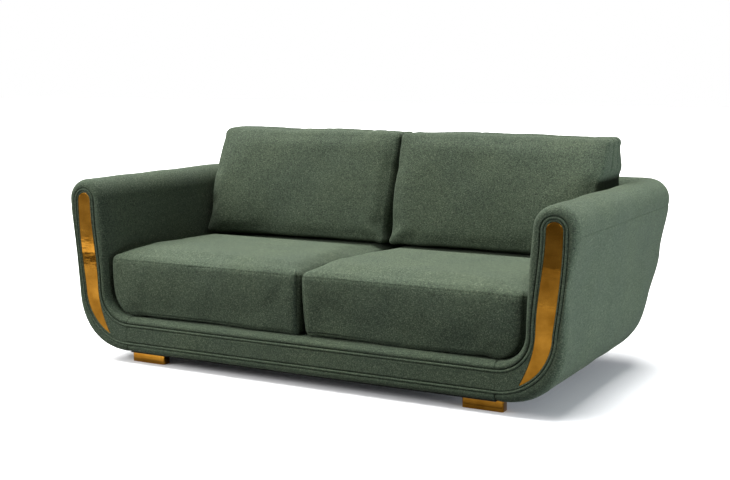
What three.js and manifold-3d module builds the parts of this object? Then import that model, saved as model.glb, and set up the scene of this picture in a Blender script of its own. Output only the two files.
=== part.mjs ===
// Two-seat upholstered sofa: U-shaped front frame with brass inlays, loose seat and back cushions.
// Millimetres, +Z up, +X to the viewer's right, the front faces -Y.
// Inside this file y is measured from the front face; the finished group is moved so that
// its origin is the middle of the footprint, on the floor.
import * as THREE from "three";
import { mergeVertices } from "three/addons/utils/BufferGeometryUtils.js";
import Module from "manifold-3d";

const wasm = await Module();
wasm.setup();

// ---------------------------------------------------------------- driving dimensions
const FLOOR_GAP = 43; // height of the underside above the floor
const ARM_TOP = 687; // top of the arms and of the back rim
const ROLL_R = 77; // radius of the rounded top of arms and back
const HALF_WIDTH = 1006; // half the overall width, at the arm rolls
const DEPTH = 1168; // front face to the rear of the back roll
const DECK_TOP = 176; // top of the front rail, under the seat cushions
const INNER_FLANK = 836; // half the clear width between the arms, low down
const INNER_FLARE = 16; // how much that half width grows up to the roll
const CORNER_IN = 96; // radius of the seat opening's lower corners
const BACK_LEAN = 0.33; // slope of the inner back, horizontal per vertical
const FACE_DEPTH = 34; // thickness of the padded front face
const BORDER_BACK = 2; // how far the front borders stand behind the front band
const COVER = 14; // thickness of the outer covers
const PAD = 22; // thickness of the inner arm and back pads
const GAP = 0.5; // clearance between neighbouring pieces
const REST = 0.3; // clearance where one piece rests on another
const RAIL_TOP = 150; // top of the base frame's rails
const SEAM_X = 740; // where the front rail's covers meet the arm fronts
const CORD_R = 4.2; // radius of the piping
const CORD_Y = 3; // depth of the piping's centre behind the front band
const CORD_STEP = 60; // degrees between the corners of the piping's section
const BOARD = 18; // thickness of the arm and back boards
const SEAT_TOP = 404; // top of the seat cushions at their rear
const CUSHION_TOP = 853; // top of the back cushions

// The outer shell: a flat underside, a quarter superellipse, then a flank that flares to the roll.
const SIDE = { flat: 745, run: 227, rise: 225, power: 2.35, lean: 0.03, flare: 24, from: 400 };
const BACK = { flat: 830, run: 338, rise: 372, power: 1.3, lean: 0, flare: 0, from: 400 };

// The piping's line: up the outside of the arm front, over its top and back down the inside.
const LINE = { low: 76.5, high: 146, outerX: 942, innerX: 864, topX: 929.5, topZ: 608, topR: 40.5 };

// The brass inlay: distance to the piping's line, inner edge, bend and tip, and its sunken face.
const INLAY = { margin: 12.5, edge: 874, bend: 290, lift: 28, tipX: 823, tipZ: 110, face: 2, back: 5 };

const ROLL_Z = ARM_TOP - ROLL_R;
const ROLL_X = HALF_WIDTH - ROLL_R;
const ROLL_Y = DEPTH - ROLL_R;
const CORNER_Z = DECK_TOP + CORNER_IN;
const SIDE_SEAM = ROLL_Z - 24; // height of the seam where outer covers and roll meet
const CORD_FRONT = CORD_Y - CORD_R * Math.sin(THREE.MathUtils.degToRad(CORD_STEP));
const ORIGIN_Y = (DEPTH + CORD_FRONT) / 2;

// ---------------------------------------------------------------- finishes
const finish = (color, roughness, metalness) => () =>
  new THREE.MeshStandardMaterial({ color, roughness, metalness });
const fabric = finish(0x46564a, 0.95, 0);
const brass = finish(0xb07a28, 0.18, 1);
const timber = finish(0xc39a66, 0.7, 0);
const steel = finish(0x8b8f93, 0.4, 1);
const webbing = finish(0x2b2b2e, 0.9, 0);
const lining = finish(0x18181a, 1, 0);

const sofa = new THREE.Group();
const body = new THREE.Group();
body.position.y = -ORIGIN_Y;
sofa.add(body);

function add(name, geometry, material, position = [0, 0, 0]) {
  const mesh = new THREE.Mesh(geometry, material());
  mesh.name = name;
  mesh.position.set(...position);
  body.add(mesh);
}

// Adds the right-hand piece and its mirror image.
function addPair(name, geometry, material) {
  add(`${name}_right`, geometry, material);
  add(`${name}_left`, mirrored(geometry), material);
}

// ---------------------------------------------------------------- curves and outlines
const clamp01 = (t) => Math.min(Math.max(t, 0), 1);
const smooth = (t) => clamp01(t) ** 2 * (3 - 2 * clamp01(t));
const lerp = (a, b, t) => a + (b - a) * t;
const steps = (n) => Array.from({ length: n + 1 }, (_, i) => i / n);

function arc(cx, cy, r, from, to, n) {
  return steps(n).map((t) => {
    const angle = THREE.MathUtils.degToRad(lerp(from, to, t));
    return [cx + r * Math.cos(angle), cy + r * Math.sin(angle)];
  });
}

function spline(points, n) {
  const curve = new THREE.SplineCurve(points.map(([x, y]) => new THREE.Vector2(x, y)));
  return curve.getPoints(n).map((p) => [p.x, p.y]);
}

// Moves each point of an open outline sideways, to its left by d.
function offset(points, d) {
  return points.map(([x, y], i) => {
    const [ax, ay] = points[Math.max(i - 1, 0)];
    const [bx, by] = points[Math.min(i + 1, points.length - 1)];
    const length = Math.hypot(bx - ax, by - ay);
    return [x - (d * (by - ay)) / length, y + (d * (bx - ax)) / length];
  });
}

// ---------------------------------------------------------------- solids
function extrude(outline, depth) {
  const shape = new THREE.Shape(outline.map(([x, y]) => new THREE.Vector2(x, y)));
  return new THREE.ExtrudeGeometry(shape, { depth, bevelEnabled: false });
}

// Outline in x and z, solid from y0 to y1.
function acrossY(outline, y0, y1) {
  return extrude(outline, y1 - y0).rotateX(Math.PI / 2).translate(0, y1, 0);
}

// Outline in y and z, solid from x0 to x1.
function acrossX(outline, x0, x1) {
  const axes = [new THREE.Vector3(0, 1, 0), new THREE.Vector3(0, 0, 1), new THREE.Vector3(1, 0, 0)];
  const turn = new THREE.Matrix4().makeBasis(...axes);
  return extrude(outline, x1 - x0).applyMatrix4(turn).translate(x0, 0, 0);
}

function box([x0, x1], [y0, y1], [z0, z1]) {
  const block = new THREE.BoxGeometry(x1 - x0, y1 - y0, z1 - z0);
  return block.translate((x0 + x1) / 2, (y0 + y1) / 2, (z0 + z1) / 2);
}

function roundedBlock(width, depth, height, r) {
  const [w, d] = [width / 2 - r, depth / 2 - r];
  const corners = [[w, d], [-w, d], [-w, -d], [w, -d]];
  return extrude(corners.flatMap(([x, y], i) => arc(x, y, r, 90 * i, 90 * i + 90, 3)), height);
}

// Upright round bar.
function bar(r, z0, z1) {
  return new THREE.CylinderGeometry(r, r, z1 - z0, 12).rotateX(Math.PI / 2).translate(0, 0, (z0 + z1) / 2);
}

// Mirror image in x, with each triangle turned so that it still faces out.
function mirrored(geometry) {
  const copy = geometry.index ? geometry.toNonIndexed() : geometry.clone();
  const p = copy.attributes.position;
  for (let i = 0; i < p.count; i += 3) {
    const [x, y, z] = [p.getX(i), p.getY(i), p.getZ(i)];
    p.setXYZ(i, -p.getX(i + 1), p.getY(i + 1), p.getZ(i + 1));
    p.setXYZ(i + 1, -x, y, z);
    p.setX(i + 2, -p.getX(i + 2));
  }
  return copy;
}

function toSolid(geometry) {
  const plain = geometry.clone();
  plain.deleteAttribute("normal");
  plain.deleteAttribute("uv");
  const merged = mergeVertices(plain, 1e-4);
  const vertProperties = new Float32Array(merged.attributes.position.array);
  const triVerts = new Uint32Array(merged.index.array);
  return new wasm.Manifold(new wasm.Mesh({ numProp: 3, vertProperties, triVerts }));
}

function toGeometry(solid) {
  const mesh = solid.getMesh();
  const geometry = new THREE.BufferGeometry();
  geometry.setAttribute("position", new THREE.BufferAttribute(mesh.vertProperties, 3));
  geometry.setIndex(new THREE.BufferAttribute(mesh.triVerts, 1));
  return geometry.toNonIndexed();
}

const cut = (a, ...tools) => toGeometry(tools.reduce((solid, t) => solid.subtract(toSolid(t)), toSolid(a)));
const common = (a, b) => toGeometry(toSolid(a).intersect(toSolid(b)));

// Joins rings of equal length into one closed solid. Each ring runs along one face of a strip
// and back along the other, so a ladder between the two faces caps the ends.
function loft(rings) {
  const count = rings[0].length;
  const positions = [];
  const quad = (a, b, c, d) => [a, b, c, a, c, d].forEach((p) => positions.push(...p.toArray()));
  for (let i = 0; i + 1 < rings.length; i += 1) {
    for (let j = 0; j < count; j += 1) {
      const k = (j + 1) % count;
      quad(rings[i][j], rings[i][k], rings[i + 1][k], rings[i + 1][j]);
    }
  }
  const [first, last] = [rings[0], rings.at(-1)];
  for (let j = 0; j + 1 < count / 2; j += 1) {
    const [far, next] = [count - 1 - j, count - 2 - j];
    quad(first[j], first[far], first[next], first[j + 1]);
    quad(last[j], last[j + 1], last[next], last[far]);
  }
  const geometry = new THREE.BufferGeometry();
  geometry.setAttribute("position", new THREE.Float32BufferAttribute(positions, 3));
  return volume(geometry) < 0 ? mirrored(geometry).scale(-1, 1, 1) : geometry;
}

function volume(geometry) {
  const p = geometry.attributes.position;
  const [a, b, c] = [new THREE.Vector3(), new THREE.Vector3(), new THREE.Vector3()];
  let total = 0;
  for (let i = 0; i < p.count; i += 3) {
    a.fromBufferAttribute(p, i);
    b.fromBufferAttribute(p, i + 1);
    c.fromBufferAttribute(p, i + 2);
    total += a.dot(b.cross(c)) / 6;
  }
  return total;
}

// ---------------------------------------------------------------- outlines that pieces share
function shell(form, top) {
  const knee = FLOOR_GAP + form.rise;
  const low = steps(7).map((t) => {
    const angle = (t * Math.PI) / 2;
    const out = form.run * Math.sin(angle) ** (2 / form.power);
    return [form.flat + out, knee - form.rise * Math.cos(angle) ** (2 / form.power)];
  });
  const high = steps(6).slice(1).map((t) => {
    const z = lerp(knee, top, t);
    const flare = form.flare * smooth((z - form.from) / (ROLL_Z - 10 - form.from));
    return [form.flat + form.run + form.lean * (z - knee) + flare, z];
  });
  return [...low, ...high];
}

// Plan radius of the rear corners: tight at the roll, widest where the covers turn under.
const cornerSwell = (z) => Math.sin(Math.PI * clamp01((z - FLOOR_GAP) / (400 - FLOOR_GAP))) ** 2;
const cornerRadius = (z) => 120 + 60 * clamp01((300 - z) / (300 - FLOOR_GAP)) ** 2 + 130 * cornerSwell(z);

// Inner faces of the arms (half width at height z) and of the back (y at height z).
const innerFlank = (z) => INNER_FLANK + INNER_FLARE * Math.max((z - CORNER_Z) / (ROLL_Z - CORNER_Z), 0) ** 2;
const innerBack = (z) => ROLL_Y - ROLL_R - BACK_LEAN * (ROLL_Z - z);

// A point of a wrapping layer: side half width and height, back y and height, corner radius.
const wrapPoint = (x, z, y, backZ, r) => ({ x, z, y, backZ, r });

// Places a wrap point at a station: { y } along the side, or { turn } degrees round the corner.
function place(p, { y, turn, hand = 1, shift = [0, 0] }) {
  if (y !== undefined) {
    return new THREE.Vector3(hand * p.x, y, p.z);
  }
  const angle = THREE.MathUtils.degToRad(turn);
  const x = p.x - p.r + p.r * Math.cos(angle) + shift[0];
  const back = p.y - p.r + p.r * Math.sin(angle) + shift[1];
  return new THREE.Vector3(hand * x, back, lerp(p.z, p.backZ, smooth(turn / 90)));
}

const wrap = (points, stations) => loft(stations.map((station) => points.map((p) => place(p, station))));

// ---------------------------------------------------------------- outer covers
function coverPoints() {
  const [side, back] = [shell(SIDE, SIDE_SEAM), shell(BACK, SIDE_SEAM)];
  const [sideIn, backIn] = [offset(side, COVER), offset(back, COVER)];
  const outer = side.map(([x, z], i) => wrapPoint(x, z, ...back[i], cornerRadius(z)));
  const inner = sideIn.map(([x, z], i) => {
    return wrapPoint(x, z, ...backIn[i], cornerRadius(side[i][1]) - COVER);
  });
  return [...outer, ...inner.reverse()];
}

// Each side cover wraps round its rear corner and meets the back cover there.
function makeOuterCovers() {
  const points = coverPoints();
  const corner = [0, 22.5, 45, 67.5, 90].map((turn) => ({ turn }));
  addPair("outer_side_cover", wrap(points, [{ y: FACE_DEPTH + GAP }, ...corner]), fabric);
  const end = { turn: 90, shift: [-GAP, 0] };
  add("outer_back_cover", wrap(points, [end, { ...end, hand: -1 }]), fabric);
}

// ---------------------------------------------------------------- arm and back pads with their rolls
// Section of a pad: from the seam outside, over the roll, and down the inner face.
function hookPoints() {
  const seam = SIDE_SEAM + 4;
  const sharp = 8; // plan radius of the inner corner between arm and back
  const roll = (r) =>
    steps(8).map((t) => {
      const [c, s] = [r * Math.cos(t * Math.PI), r * Math.sin(t * Math.PI)];
      const radius = Math.max(120 - ROLL_R + c, sharp + ROLL_R - r);
      return wrapPoint(ROLL_X + c, ROLL_Z + s, ROLL_Y + c, ROLL_Z + s, radius);
    });
  const down = (d) =>
    steps(5).slice(1).map((t) => {
      const z = lerp(ROLL_Z, CORNER_Z + GAP, t);
      const backZ = lerp(ROLL_Z, DECK_TOP + 2, t);
      return wrapPoint(innerFlank(z) + d, z, innerBack(backZ) + d, backZ, sharp + d);
    });
  const edge = (d) => wrapPoint(HALF_WIDTH - 1 - d, seam, DEPTH - 1 - d, seam, 120 - d);
  const inside = [...down(PAD).reverse(), ...roll(ROLL_R - PAD).reverse(), edge(PAD)];
  return [edge(0), ...roll(ROLL_R), ...down(0), ...inside];
}

// The arm pads and the back pad meet at mitres in the two rear corners.
function makeInnerPads() {
  const points = hookPoints();
  const armMitre = { turn: 45, shift: [0.2, -0.2] };
  const armCorner = [0, 15, 30].map((turn) => ({ turn }));
  addPair("arm_pad", wrap(points, [{ y: FACE_DEPTH + GAP }, ...armCorner, armMitre]), fabric);
  const backMitre = { turn: 45, shift: [-0.2, 0.2] };
  const right = [backMitre, ...[60, 75, 90].map((turn) => ({ turn }))];
  const left = [...right].reverse().map((station) => ({ ...station, hand: -1 }));
  add("back_pad", wrap(points, [...right, ...left]), fabric);
}

// Padded fillet between the seat deck and the foot of each arm.
function makeCornerPads() {
  const outside = INNER_FLANK + PAD;
  const base = RAIL_TOP + 10;
  const curve = arc(SEAM_X, CORNER_Z, CORNER_IN, -90, 0, 6);
  const outline = [...curve, [outside, CORNER_Z], [outside, base], [SEAM_X, base]];
  const front = FACE_DEPTH + BOARD + 2.6;
  addPair("seat_corner_pad", acrossY(outline, front, innerBack(DECK_TOP) - 10), fabric);
}

// ---------------------------------------------------------------- front face
function outerLine() {
  const r = LINE.outerX - SEAM_X;
  const z0 = LINE.low + r;
  const run = LINE.topX + LINE.topR - LINE.outerX;
  const rise = steps(6).slice(1).map((t) => {
    return [LINE.outerX + run * Math.sin((t * Math.PI) / 2), lerp(z0, LINE.topZ, t)];
  });
  return [...arc(SEAM_X, z0, r, -90, 0, 8), ...rise];
}

function innerLine() {
  const r = LINE.innerX - SEAM_X;
  const z0 = LINE.high + r;
  const run = LINE.topX - LINE.topR - LINE.innerX;
  const fall = steps(5).slice(0, -1).map((t) => {
    return [LINE.innerX + run * smooth(1 - t), lerp(LINE.topZ, z0, t)];
  });
  return [...fall, ...arc(SEAM_X, z0, r, 0, -90, 6)];
}

function pipingLine() {
  const top = arc(LINE.topX, LINE.topZ, LINE.topR, 0, 180, 8).slice(1, -1);
  return [...outerLine(), ...top, ...innerLine()];
}

// Edge of the whole arm front, from the underside round the arm to the seat opening.
function faceEdge() {
  const top = arc(ROLL_X, ROLL_Z, ROLL_R, 0, 180, 8);
  const fall = steps(5).slice(1).map((t) => {
    const z = lerp(ROLL_Z, CORNER_Z, t);
    return [innerFlank(z), z];
  });
  const corner = arc(SEAM_X, CORNER_Z, CORNER_IN, 0, -90, 6).slice(1);
  return [[SEAM_X, FLOOR_GAP], ...shell(SIDE, ROLL_Z - 10), ...top, ...fall, ...corner];
}

// A round-topped blade that runs to a point in the lower corner.
function inlayOutline(grow) {
  const outer = offset(outerLine(), INLAY.margin - grow).filter(([x]) => x > INLAY.tipX);
  const top = arc(LINE.topX, LINE.topZ, LINE.topR - INLAY.margin + grow, 0, 180, 8).slice(1);
  const edge = INLAY.edge - grow;
  const blade = steps(3).slice(1).map((t) => {
    return [edge + INLAY.lift * smooth(1 - t), lerp(LINE.topZ, INLAY.bend, t)];
  });
  const sweep = new THREE.QuadraticBezierCurve(
    new THREE.Vector2(edge, INLAY.bend),
    new THREE.Vector2(edge, 205),
    new THREE.Vector2(INLAY.tipX - grow, INLAY.tipZ - grow),
  );
  return [...outer, ...top, ...blade, ...sweep.getPoints(5).slice(1).map((p) => [p.x, p.y])];
}

function makeFront() {
  const start = SEAM_X + GAP;
  const [inside, outside] = [CORD_R + GAP, -CORD_R - GAP].map((d) => offset(pipingLine(), d));
  const [low, high] = [inside[0][1], inside.at(-1)[1]];
  const [under, over] = [outside[0][1], outside.at(-1)[1]];

  const band = acrossY([[start, low], ...inside.filter(([x]) => x > start), [start, high]], 0, FACE_DEPTH);
  const pocket = acrossY(inlayOutline(GAP), -1, INLAY.back + GAP);
  addPair("arm_front_band", cut(band, pocket), fabric);
  addPair("brass_inlay", acrossY(inlayOutline(0), INLAY.face, INLAY.back), brass);

  const edge = faceEdge().map(([x, z]) => [Math.max(x, start), z]);
  const rim = outside.filter(([x]) => x > start).reverse();
  const hairpin = [...edge, [start, over], ...rim, [start, under]];
  addPair("arm_front_border", acrossY(hairpin, BORDER_BACK, FACE_DEPTH), fabric);

  const rail = (name, front, heights) => {
    add(name, box([-SEAM_X, SEAM_X], [front, FACE_DEPTH], heights), fabric);
  };
  rail("rail_band", 0, [low, high]);
  rail("rail_lower_border", BORDER_BACK, [FLOOR_GAP, under]);
  rail("rail_upper_border", BORDER_BACK, [over, DECK_TOP]);
}

// One cord runs the whole way round the U, with its two ends butted under the front rail.
function makePiping() {
  const half = 380; // half way along each straight stretch of the rail
  const right = pipingLine();
  const [low, high] = [right[0][1], right.at(-1)[1]];
  const route = [[GAP, low], [half, low], ...right, [half, high]];
  const back = [...route].reverse().map(([x, z]) => [-x, z]);
  const line = [...route, ...back].map(([x, z]) => new THREE.Vector3(x, CORD_Y, z));
  const section = arc(0, 0, CORD_R, 0, 360 - CORD_STEP, 5);
  const rings = line.map((p, i) => {
    const along = line[Math.min(i + 1, line.length - 1)].clone().sub(line[Math.max(i - 1, 0)]).normalize();
    return section.map(([a, b]) => new THREE.Vector3(p.x + a * along.z, p.y + b, p.z - a * along.x));
  });
  add("piping", loft(rings), fabric);
}

// ---------------------------------------------------------------- base frame, feet and springs
const FRONT_RAIL = [36, 90];
const REAR_RAIL = [720, 765];
const SIDE_RAIL = [655, 700];
const FOOT = { width: 146, depth: 40, round: 8, boltR: 4, boltFrom: 20, boltTo: 90 };
const FEET = [
  ["front_right", 680, 67],
  ["front_left", -680, 67],
  ["rear_right", 627, 742],
  ["rear_left", -627, 742],
];

const boltHole = () => bar(FOOT.boltR + GAP, FOOT.boltFrom - GAP, FOOT.boltTo + 2);
const footBlock = (grow) =>
  roundedBlock(FOOT.width + 2 * grow, FOOT.depth + 2 * grow, FLOOR_GAP - REST, FOOT.round + grow);

function makeFeet() {
  const block = cut(footBlock(0), boltHole());
  for (const [corner, x, y] of FEET) {
    add(`foot_${corner}`, block.clone(), brass, [x, y, 0]);
    add(`foot_bolt_${corner}`, bar(FOOT.boltR, FOOT.boltFrom, FOOT.boltTo), steel, [x, y, 0]);
  }
}

// Rails of the seat frame. The dust cover is stapled under them and is cut out round the feet.
function makeBase() {
  const heights = [FLOOR_GAP, RAIL_TOP];
  const between = [FRONT_RAIL[1] + GAP, REAR_RAIL[0] - GAP];
  const [front, rear] = [SEAM_X - GAP, SIDE_RAIL[0] - GAP];
  const at = (solid, feet) => feet.map(([, x, y]) => solid.clone().translate(x, y, 0));
  const [frontFeet, rearFeet] = [FEET.slice(0, 2), FEET.slice(2)];
  const drilled = (rail, feet) => cut(rail, ...at(boltHole(), feet));
  add("base_front_rail", drilled(box([-front, front], FRONT_RAIL, heights), frontFeet), timber);
  add("base_rear_rail", drilled(box([-rear, rear], REAR_RAIL, heights), rearFeet), timber);
  addPair("base_side_rail", box(SIDE_RAIL, [between[0], REAR_RAIL[1]], heights), timber);
  add("base_centre_rail", box([-22, 22], between, [FLOOR_GAP + 3, RAIL_TOP - 6]), timber);
  const sheet = box([-front, front], [FACE_DEPTH / 2, BACK.flat - 4], [FLOOR_GAP - 1.5, FLOOR_GAP - REST]);
  const trim = roundedBlock(2 * front, 2 * BACK.flat, FLOOR_GAP, 170);
  add("dust_cover", cut(common(sheet, trim), ...at(footBlock(1), FEET)), lining);
}

// Serpentine springs run from the front rail to the rear rail and carry the seat deck.
function makeSprings() {
  const wire = 2;
  const swing = 24;
  const waves = 7;
  const [from, to] = [FRONT_RAIL[0] + 20, REAR_RAIL[1] - 15];
  const wave = (t) => swing * Math.sin(t * waves * 2 * Math.PI);
  const route = steps(waves * 4).map((t) => new THREE.Vector3(wave(t), lerp(from, to, t), 0));
  const section = new THREE.Shape(arc(0, 0, wire, 0, 288, 4).map(([x, y]) => new THREE.Vector2(x, y)));
  const extrudePath = new THREE.CatmullRomCurve3(route);
  const spring = new THREE.ExtrudeGeometry(section, { steps: waves * 6, extrudePath, bevelEnabled: false });
  [-540, -330, -120, 120, 330, 540].forEach((x, i) => {
    add(`seat_spring_${i + 1}`, spring.clone(), steel, [x, 0, RAIL_TOP + wire + 1]);
  });
  const reach = SEAM_X - GAP;
  const depth = [FACE_DEPTH + GAP, innerBack(DECK_TOP) - 3];
  add("seat_deck", box([-reach, reach], depth, [RAIL_TOP + 10, DECK_TOP - GAP]), fabric);
}

// ---------------------------------------------------------------- arm and back frames
// Outline of an arm board, just inside the covers: up the flank, over the top and down the inside.
function armBoardOutline(rounded) {
  const outer = offset(shell(SIDE, SIDE_SEAM - 11), COVER + 3);
  const shoulder = [ROLL_X + 52, ROLL_Z - 19];
  const fall = steps(4).slice(1).map((t) => {
    const z = lerp(ROLL_Z, CORNER_Z, t);
    return [innerFlank(z) + PAD + GAP, z];
  });
  if (!rounded) {
    return [...outer, shoulder, [ROLL_X - 54, ROLL_Z - 19], ...fall.slice(1)];
  }
  return [...outer, shoulder, ...arc(ROLL_X, ROLL_Z, ROLL_R - PAD - 2, 0, 180, 6), ...fall];
}

function makeArmFrames() {
  const inset = PAD + GAP;
  const seam = SEAM_X + GAP;
  const floor = FLOOR_GAP + COVER + 3;
  const front = FACE_DEPTH + 2;
  const corner = arc(SEAM_X, CORNER_Z, CORNER_IN + inset, 0, -90, 5).slice(1);
  const lower = [[seam, DECK_TOP - inset], [seam, floor]];
  const frontBoard = acrossY([...armBoardOutline(true), ...corner, ...lower], front, front + BOARD);
  addPair("arm_front_board", frontBoard, timber);

  const rear = 655;
  const [foot, ledge] = [SIDE_RAIL[1] + GAP, RAIL_TOP + 8];
  const tail = [[INNER_FLANK + inset, ledge], [foot, ledge], [foot, floor]];
  addPair("arm_rear_board", acrossY([...armBoardOutline(false), ...tail], rear, rear + BOARD), timber);

  const start = front + BOARD + GAP;
  const topRail = box([ROLL_X - 24, ROLL_X + 24], [start, ROLL_Y - 41], [ROLL_Z - 18, ROLL_Z + 30]);
  addPair("arm_top_rail", topRail, timber);
  addPair("arm_lower_rail", box([862, 895], [start, rear - GAP], [118, 154]), timber);
}

function makeBackFrame() {
  const face = (z) => innerBack(z) + PAD;
  const front = (z) => [face(z) + 3.2, z];
  const outer = offset(shell(BACK, SIDE_SEAM - 1), COVER + 3);
  const top = ROLL_Z - 20;
  const ledge = RAIL_TOP + 8;
  const foot = REAR_RAIL[1] + GAP;
  const inner = [front(top), front(DECK_TOP), [front(DECK_TOP)[0], ledge], [foot, ledge]];
  const rib = [[foot, FLOOR_GAP + COVER + 3], ...outer, [outer.at(-1)[0], top], ...inner];
  Object.entries({ left: -560, centre: 0, right: 560 }).forEach(([name, x]) => {
    add(`back_rib_${name}`, acrossX(rib, x - BOARD / 2, x + BOARD / 2), timber);
  });
  add("back_top_rail", box([-895, 895], [ROLL_Y - 31, ROLL_Y + 31], [ROLL_Z - 19.5, ROLL_Z + 30]), timber);

  const [strapHalf, strapThick, reach] = [30, 2.2, 600];
  [270, 400, 530].forEach((z, i) => {
    const strap = [z - strapHalf, z + strapHalf].map((h) => [face(h) + GAP, h]);
    const rear = [...strap].reverse().map(([y, h]) => [y + strapThick, h]);
    add(`back_webbing_${i + 1}`, acrossX([...rear, ...strap], -reach, reach), webbing);
  });
}

// ---------------------------------------------------------------- loose cushions
const CUSHION_X0 = 2; // each cushion starts this far from the sofa's middle

function makeSeatCushions() {
  const edge = INNER_FLANK - 1;
  const base = DECK_TOP + 1;
  const [front, rear] = [19, innerBack(DECK_TOP) - 5];
  const [nose, chamfer] = [34, 8];
  const shoulder = SEAT_TOP - 12;
  const lid = SEAT_TOP + 18; // the rounded ends of the front view stand clear of the crown
  const slope = [[rear - 12, SEAT_TOP], [650, SEAT_TOP + 6]];
  const crown = spline([...slope, [320, SEAT_TOP + 12], [front + nose, shoulder]], 8);
  const side = [
    [front, base + chamfer],
    [front + chamfer, base],
    [rear, base],
    [rear, shoulder],
    ...crown.slice(0, -1),
    ...arc(front + nose, shoulder - nose, nose, 90, 180, 4),
  ];
  const face = [
    ...arc(SEAM_X, CORNER_Z, CORNER_IN - 1, -90, 0, 6),
    ...arc(edge - 30, lid - 30, 30, 0, 90, 3),
    ...arc(CUSHION_X0 + 25, lid - 25, 25, 90, 180, 3),
    [CUSHION_X0, base + chamfer],
    [CUSHION_X0 + chamfer, base],
  ];
  addPair("seat_cushion", common(acrossX(side, CUSHION_X0, edge), acrossY(face, 0, rear + 1)), fabric);
}

function makeBackCushions() {
  const base = SEAT_TOP + 6; // clear of the seat cushions' sloping tops
  const edge = innerFlank(base) - 5;
  const rear = (z) => innerBack(z) - 3;
  const top = spline([[rear(600) - 2, 640], [910, 825], [850, CUSHION_TOP], [797, 828]], 9);
  const side = [
    [690, base],
    [930, base],
    [rear(base), base + 22],
    [rear(600), 600],
    ...top,
    [672, base + 35],
    [672, base + 15],
  ];
  const corners = [
    [edge - 30, base + 30, 30],
    [edge - 45, CUSHION_TOP - 45, 45],
    [CUSHION_X0 + 35, CUSHION_TOP - 35, 35],
    [CUSHION_X0 + 20, base + 20, 20],
  ];
  const face = corners.flatMap(([x, z, r], i) => arc(x, z, r, 90 * i - 90, 90 * i, 4));
  addPair("back_cushion", common(acrossX(side, CUSHION_X0, edge), acrossY(face, 600, DEPTH)), fabric);
}

makeOuterCovers();
makeInnerPads();
makeCornerPads();
makeFront();
makePiping();
makeFeet();
makeBase();
makeSprings();
makeArmFrames();
makeBackFrame();
makeSeatCushions();
makeBackCushions();

export default sofa;
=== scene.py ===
# Two-seat sofa: the looks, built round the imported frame. Metres, +Z up, the front faces -Y.
import math

import bpy
import numpy as np
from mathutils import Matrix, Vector
from mathutils.kdtree import KDTree


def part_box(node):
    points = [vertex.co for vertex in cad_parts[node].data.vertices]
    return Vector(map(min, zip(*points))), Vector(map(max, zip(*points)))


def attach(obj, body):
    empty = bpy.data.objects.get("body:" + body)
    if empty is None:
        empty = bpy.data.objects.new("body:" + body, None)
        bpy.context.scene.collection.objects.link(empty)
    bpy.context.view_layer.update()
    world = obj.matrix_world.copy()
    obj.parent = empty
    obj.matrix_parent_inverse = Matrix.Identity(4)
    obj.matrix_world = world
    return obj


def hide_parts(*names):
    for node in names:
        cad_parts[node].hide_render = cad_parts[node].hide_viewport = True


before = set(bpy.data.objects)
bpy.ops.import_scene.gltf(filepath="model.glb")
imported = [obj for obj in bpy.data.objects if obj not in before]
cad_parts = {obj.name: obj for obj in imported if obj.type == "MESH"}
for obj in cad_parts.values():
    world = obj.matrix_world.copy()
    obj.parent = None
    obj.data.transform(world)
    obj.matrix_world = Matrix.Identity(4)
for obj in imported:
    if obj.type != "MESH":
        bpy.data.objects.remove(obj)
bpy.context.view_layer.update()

# ---- sizes, from the frame
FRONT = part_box("rail_band")[0].y  # the flat front face
HALF_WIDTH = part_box("arm_pad_right")[1].x
ARM_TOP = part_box("arm_pad_right")[1].z
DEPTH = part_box("back_pad")[1].y - FRONT
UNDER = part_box("outer_back_cover")[0].z
DECK_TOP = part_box("rail_upper_border")[1].z
SEAM_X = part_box("rail_band")[1].x

ROLL_R = 0.077  # radius of the rounded top of arms and back
INNER_FLANK = 0.836  # half the clear width between the arms, low down
INNER_FLARE = 0.016  # how much that half width grows up to the roll
CORNER_IN = 0.096  # radius of the seat opening's lower corners
BACK_LEAN = 0.33  # slope of the inner back
REAR_CORNER = 0.120  # plan radius of the rear corners
CORNER_TUCK, TUCK_TOP = 0.060, 0.300  # what that radius gains down to the hem, and where the gain starts
CORNER_SWELL, SWELL_TOP = 0.130, 0.400  # what it gains halfway between the hem and this height
TIGHT_CORNER = 0.008  # plan radius of the corners inside the roll
FACE_DEPTH = 0.034  # depth of the rounded front border
CORD_R = 0.0044
CORD_Y = 0.0028  # depth of the piping's centre behind the front face
CLOTH = 0.003  # thickness given to each upholstered skin

ROLL_Z = ARM_TOP - ROLL_R
ROLL_X = HALF_WIDTH - ROLL_R
ROLL_Y = DEPTH - ROLL_R
CORNER_Z = DECK_TOP + CORNER_IN
SIDE_SEAM = ROLL_Z - 0.022
FLARE_END = ROLL_Z - 0.010

SIDE = dict(flat=0.745, run=0.227, rise=0.225, power=2.35, lean=0.03, flare=0.024, start=0.400)
BACK = dict(flat=0.830, run=0.338, rise=0.372, power=1.3, lean=0.0, flare=0.0, start=0.400)
LINE = dict(low=0.0765, high=0.146, outer=0.942, inner=0.864, top_x=0.9295, top_z=0.608, top_r=0.0405)
INLAY = dict(margin=0.0125, edge=0.874, bend=0.290, lift=0.028, pull=0.205, tip_x=0.823, tip_z=0.110)
INLAY_FACE = 0.002  # depth of the brass behind the front face
INLAY_BACK = 0.005
HALF_TURN = math.pi / 2


def smooth(t):
    t = np.clip(t, 0.0, 1.0)
    return t * t * (3 - 2 * t)


def lerp(a, b, t):
    return a + (b - a) * t


def steps(count):
    """Even steps from 0 to 1, without the 0."""
    return np.linspace(0, 1, count + 1)[1:]


def unit(v):
    """Vectors, along the last axis, brought to unit length."""
    return v / np.maximum(np.linalg.norm(v, axis=-1, keepdims=True), 1e-12)


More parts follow.
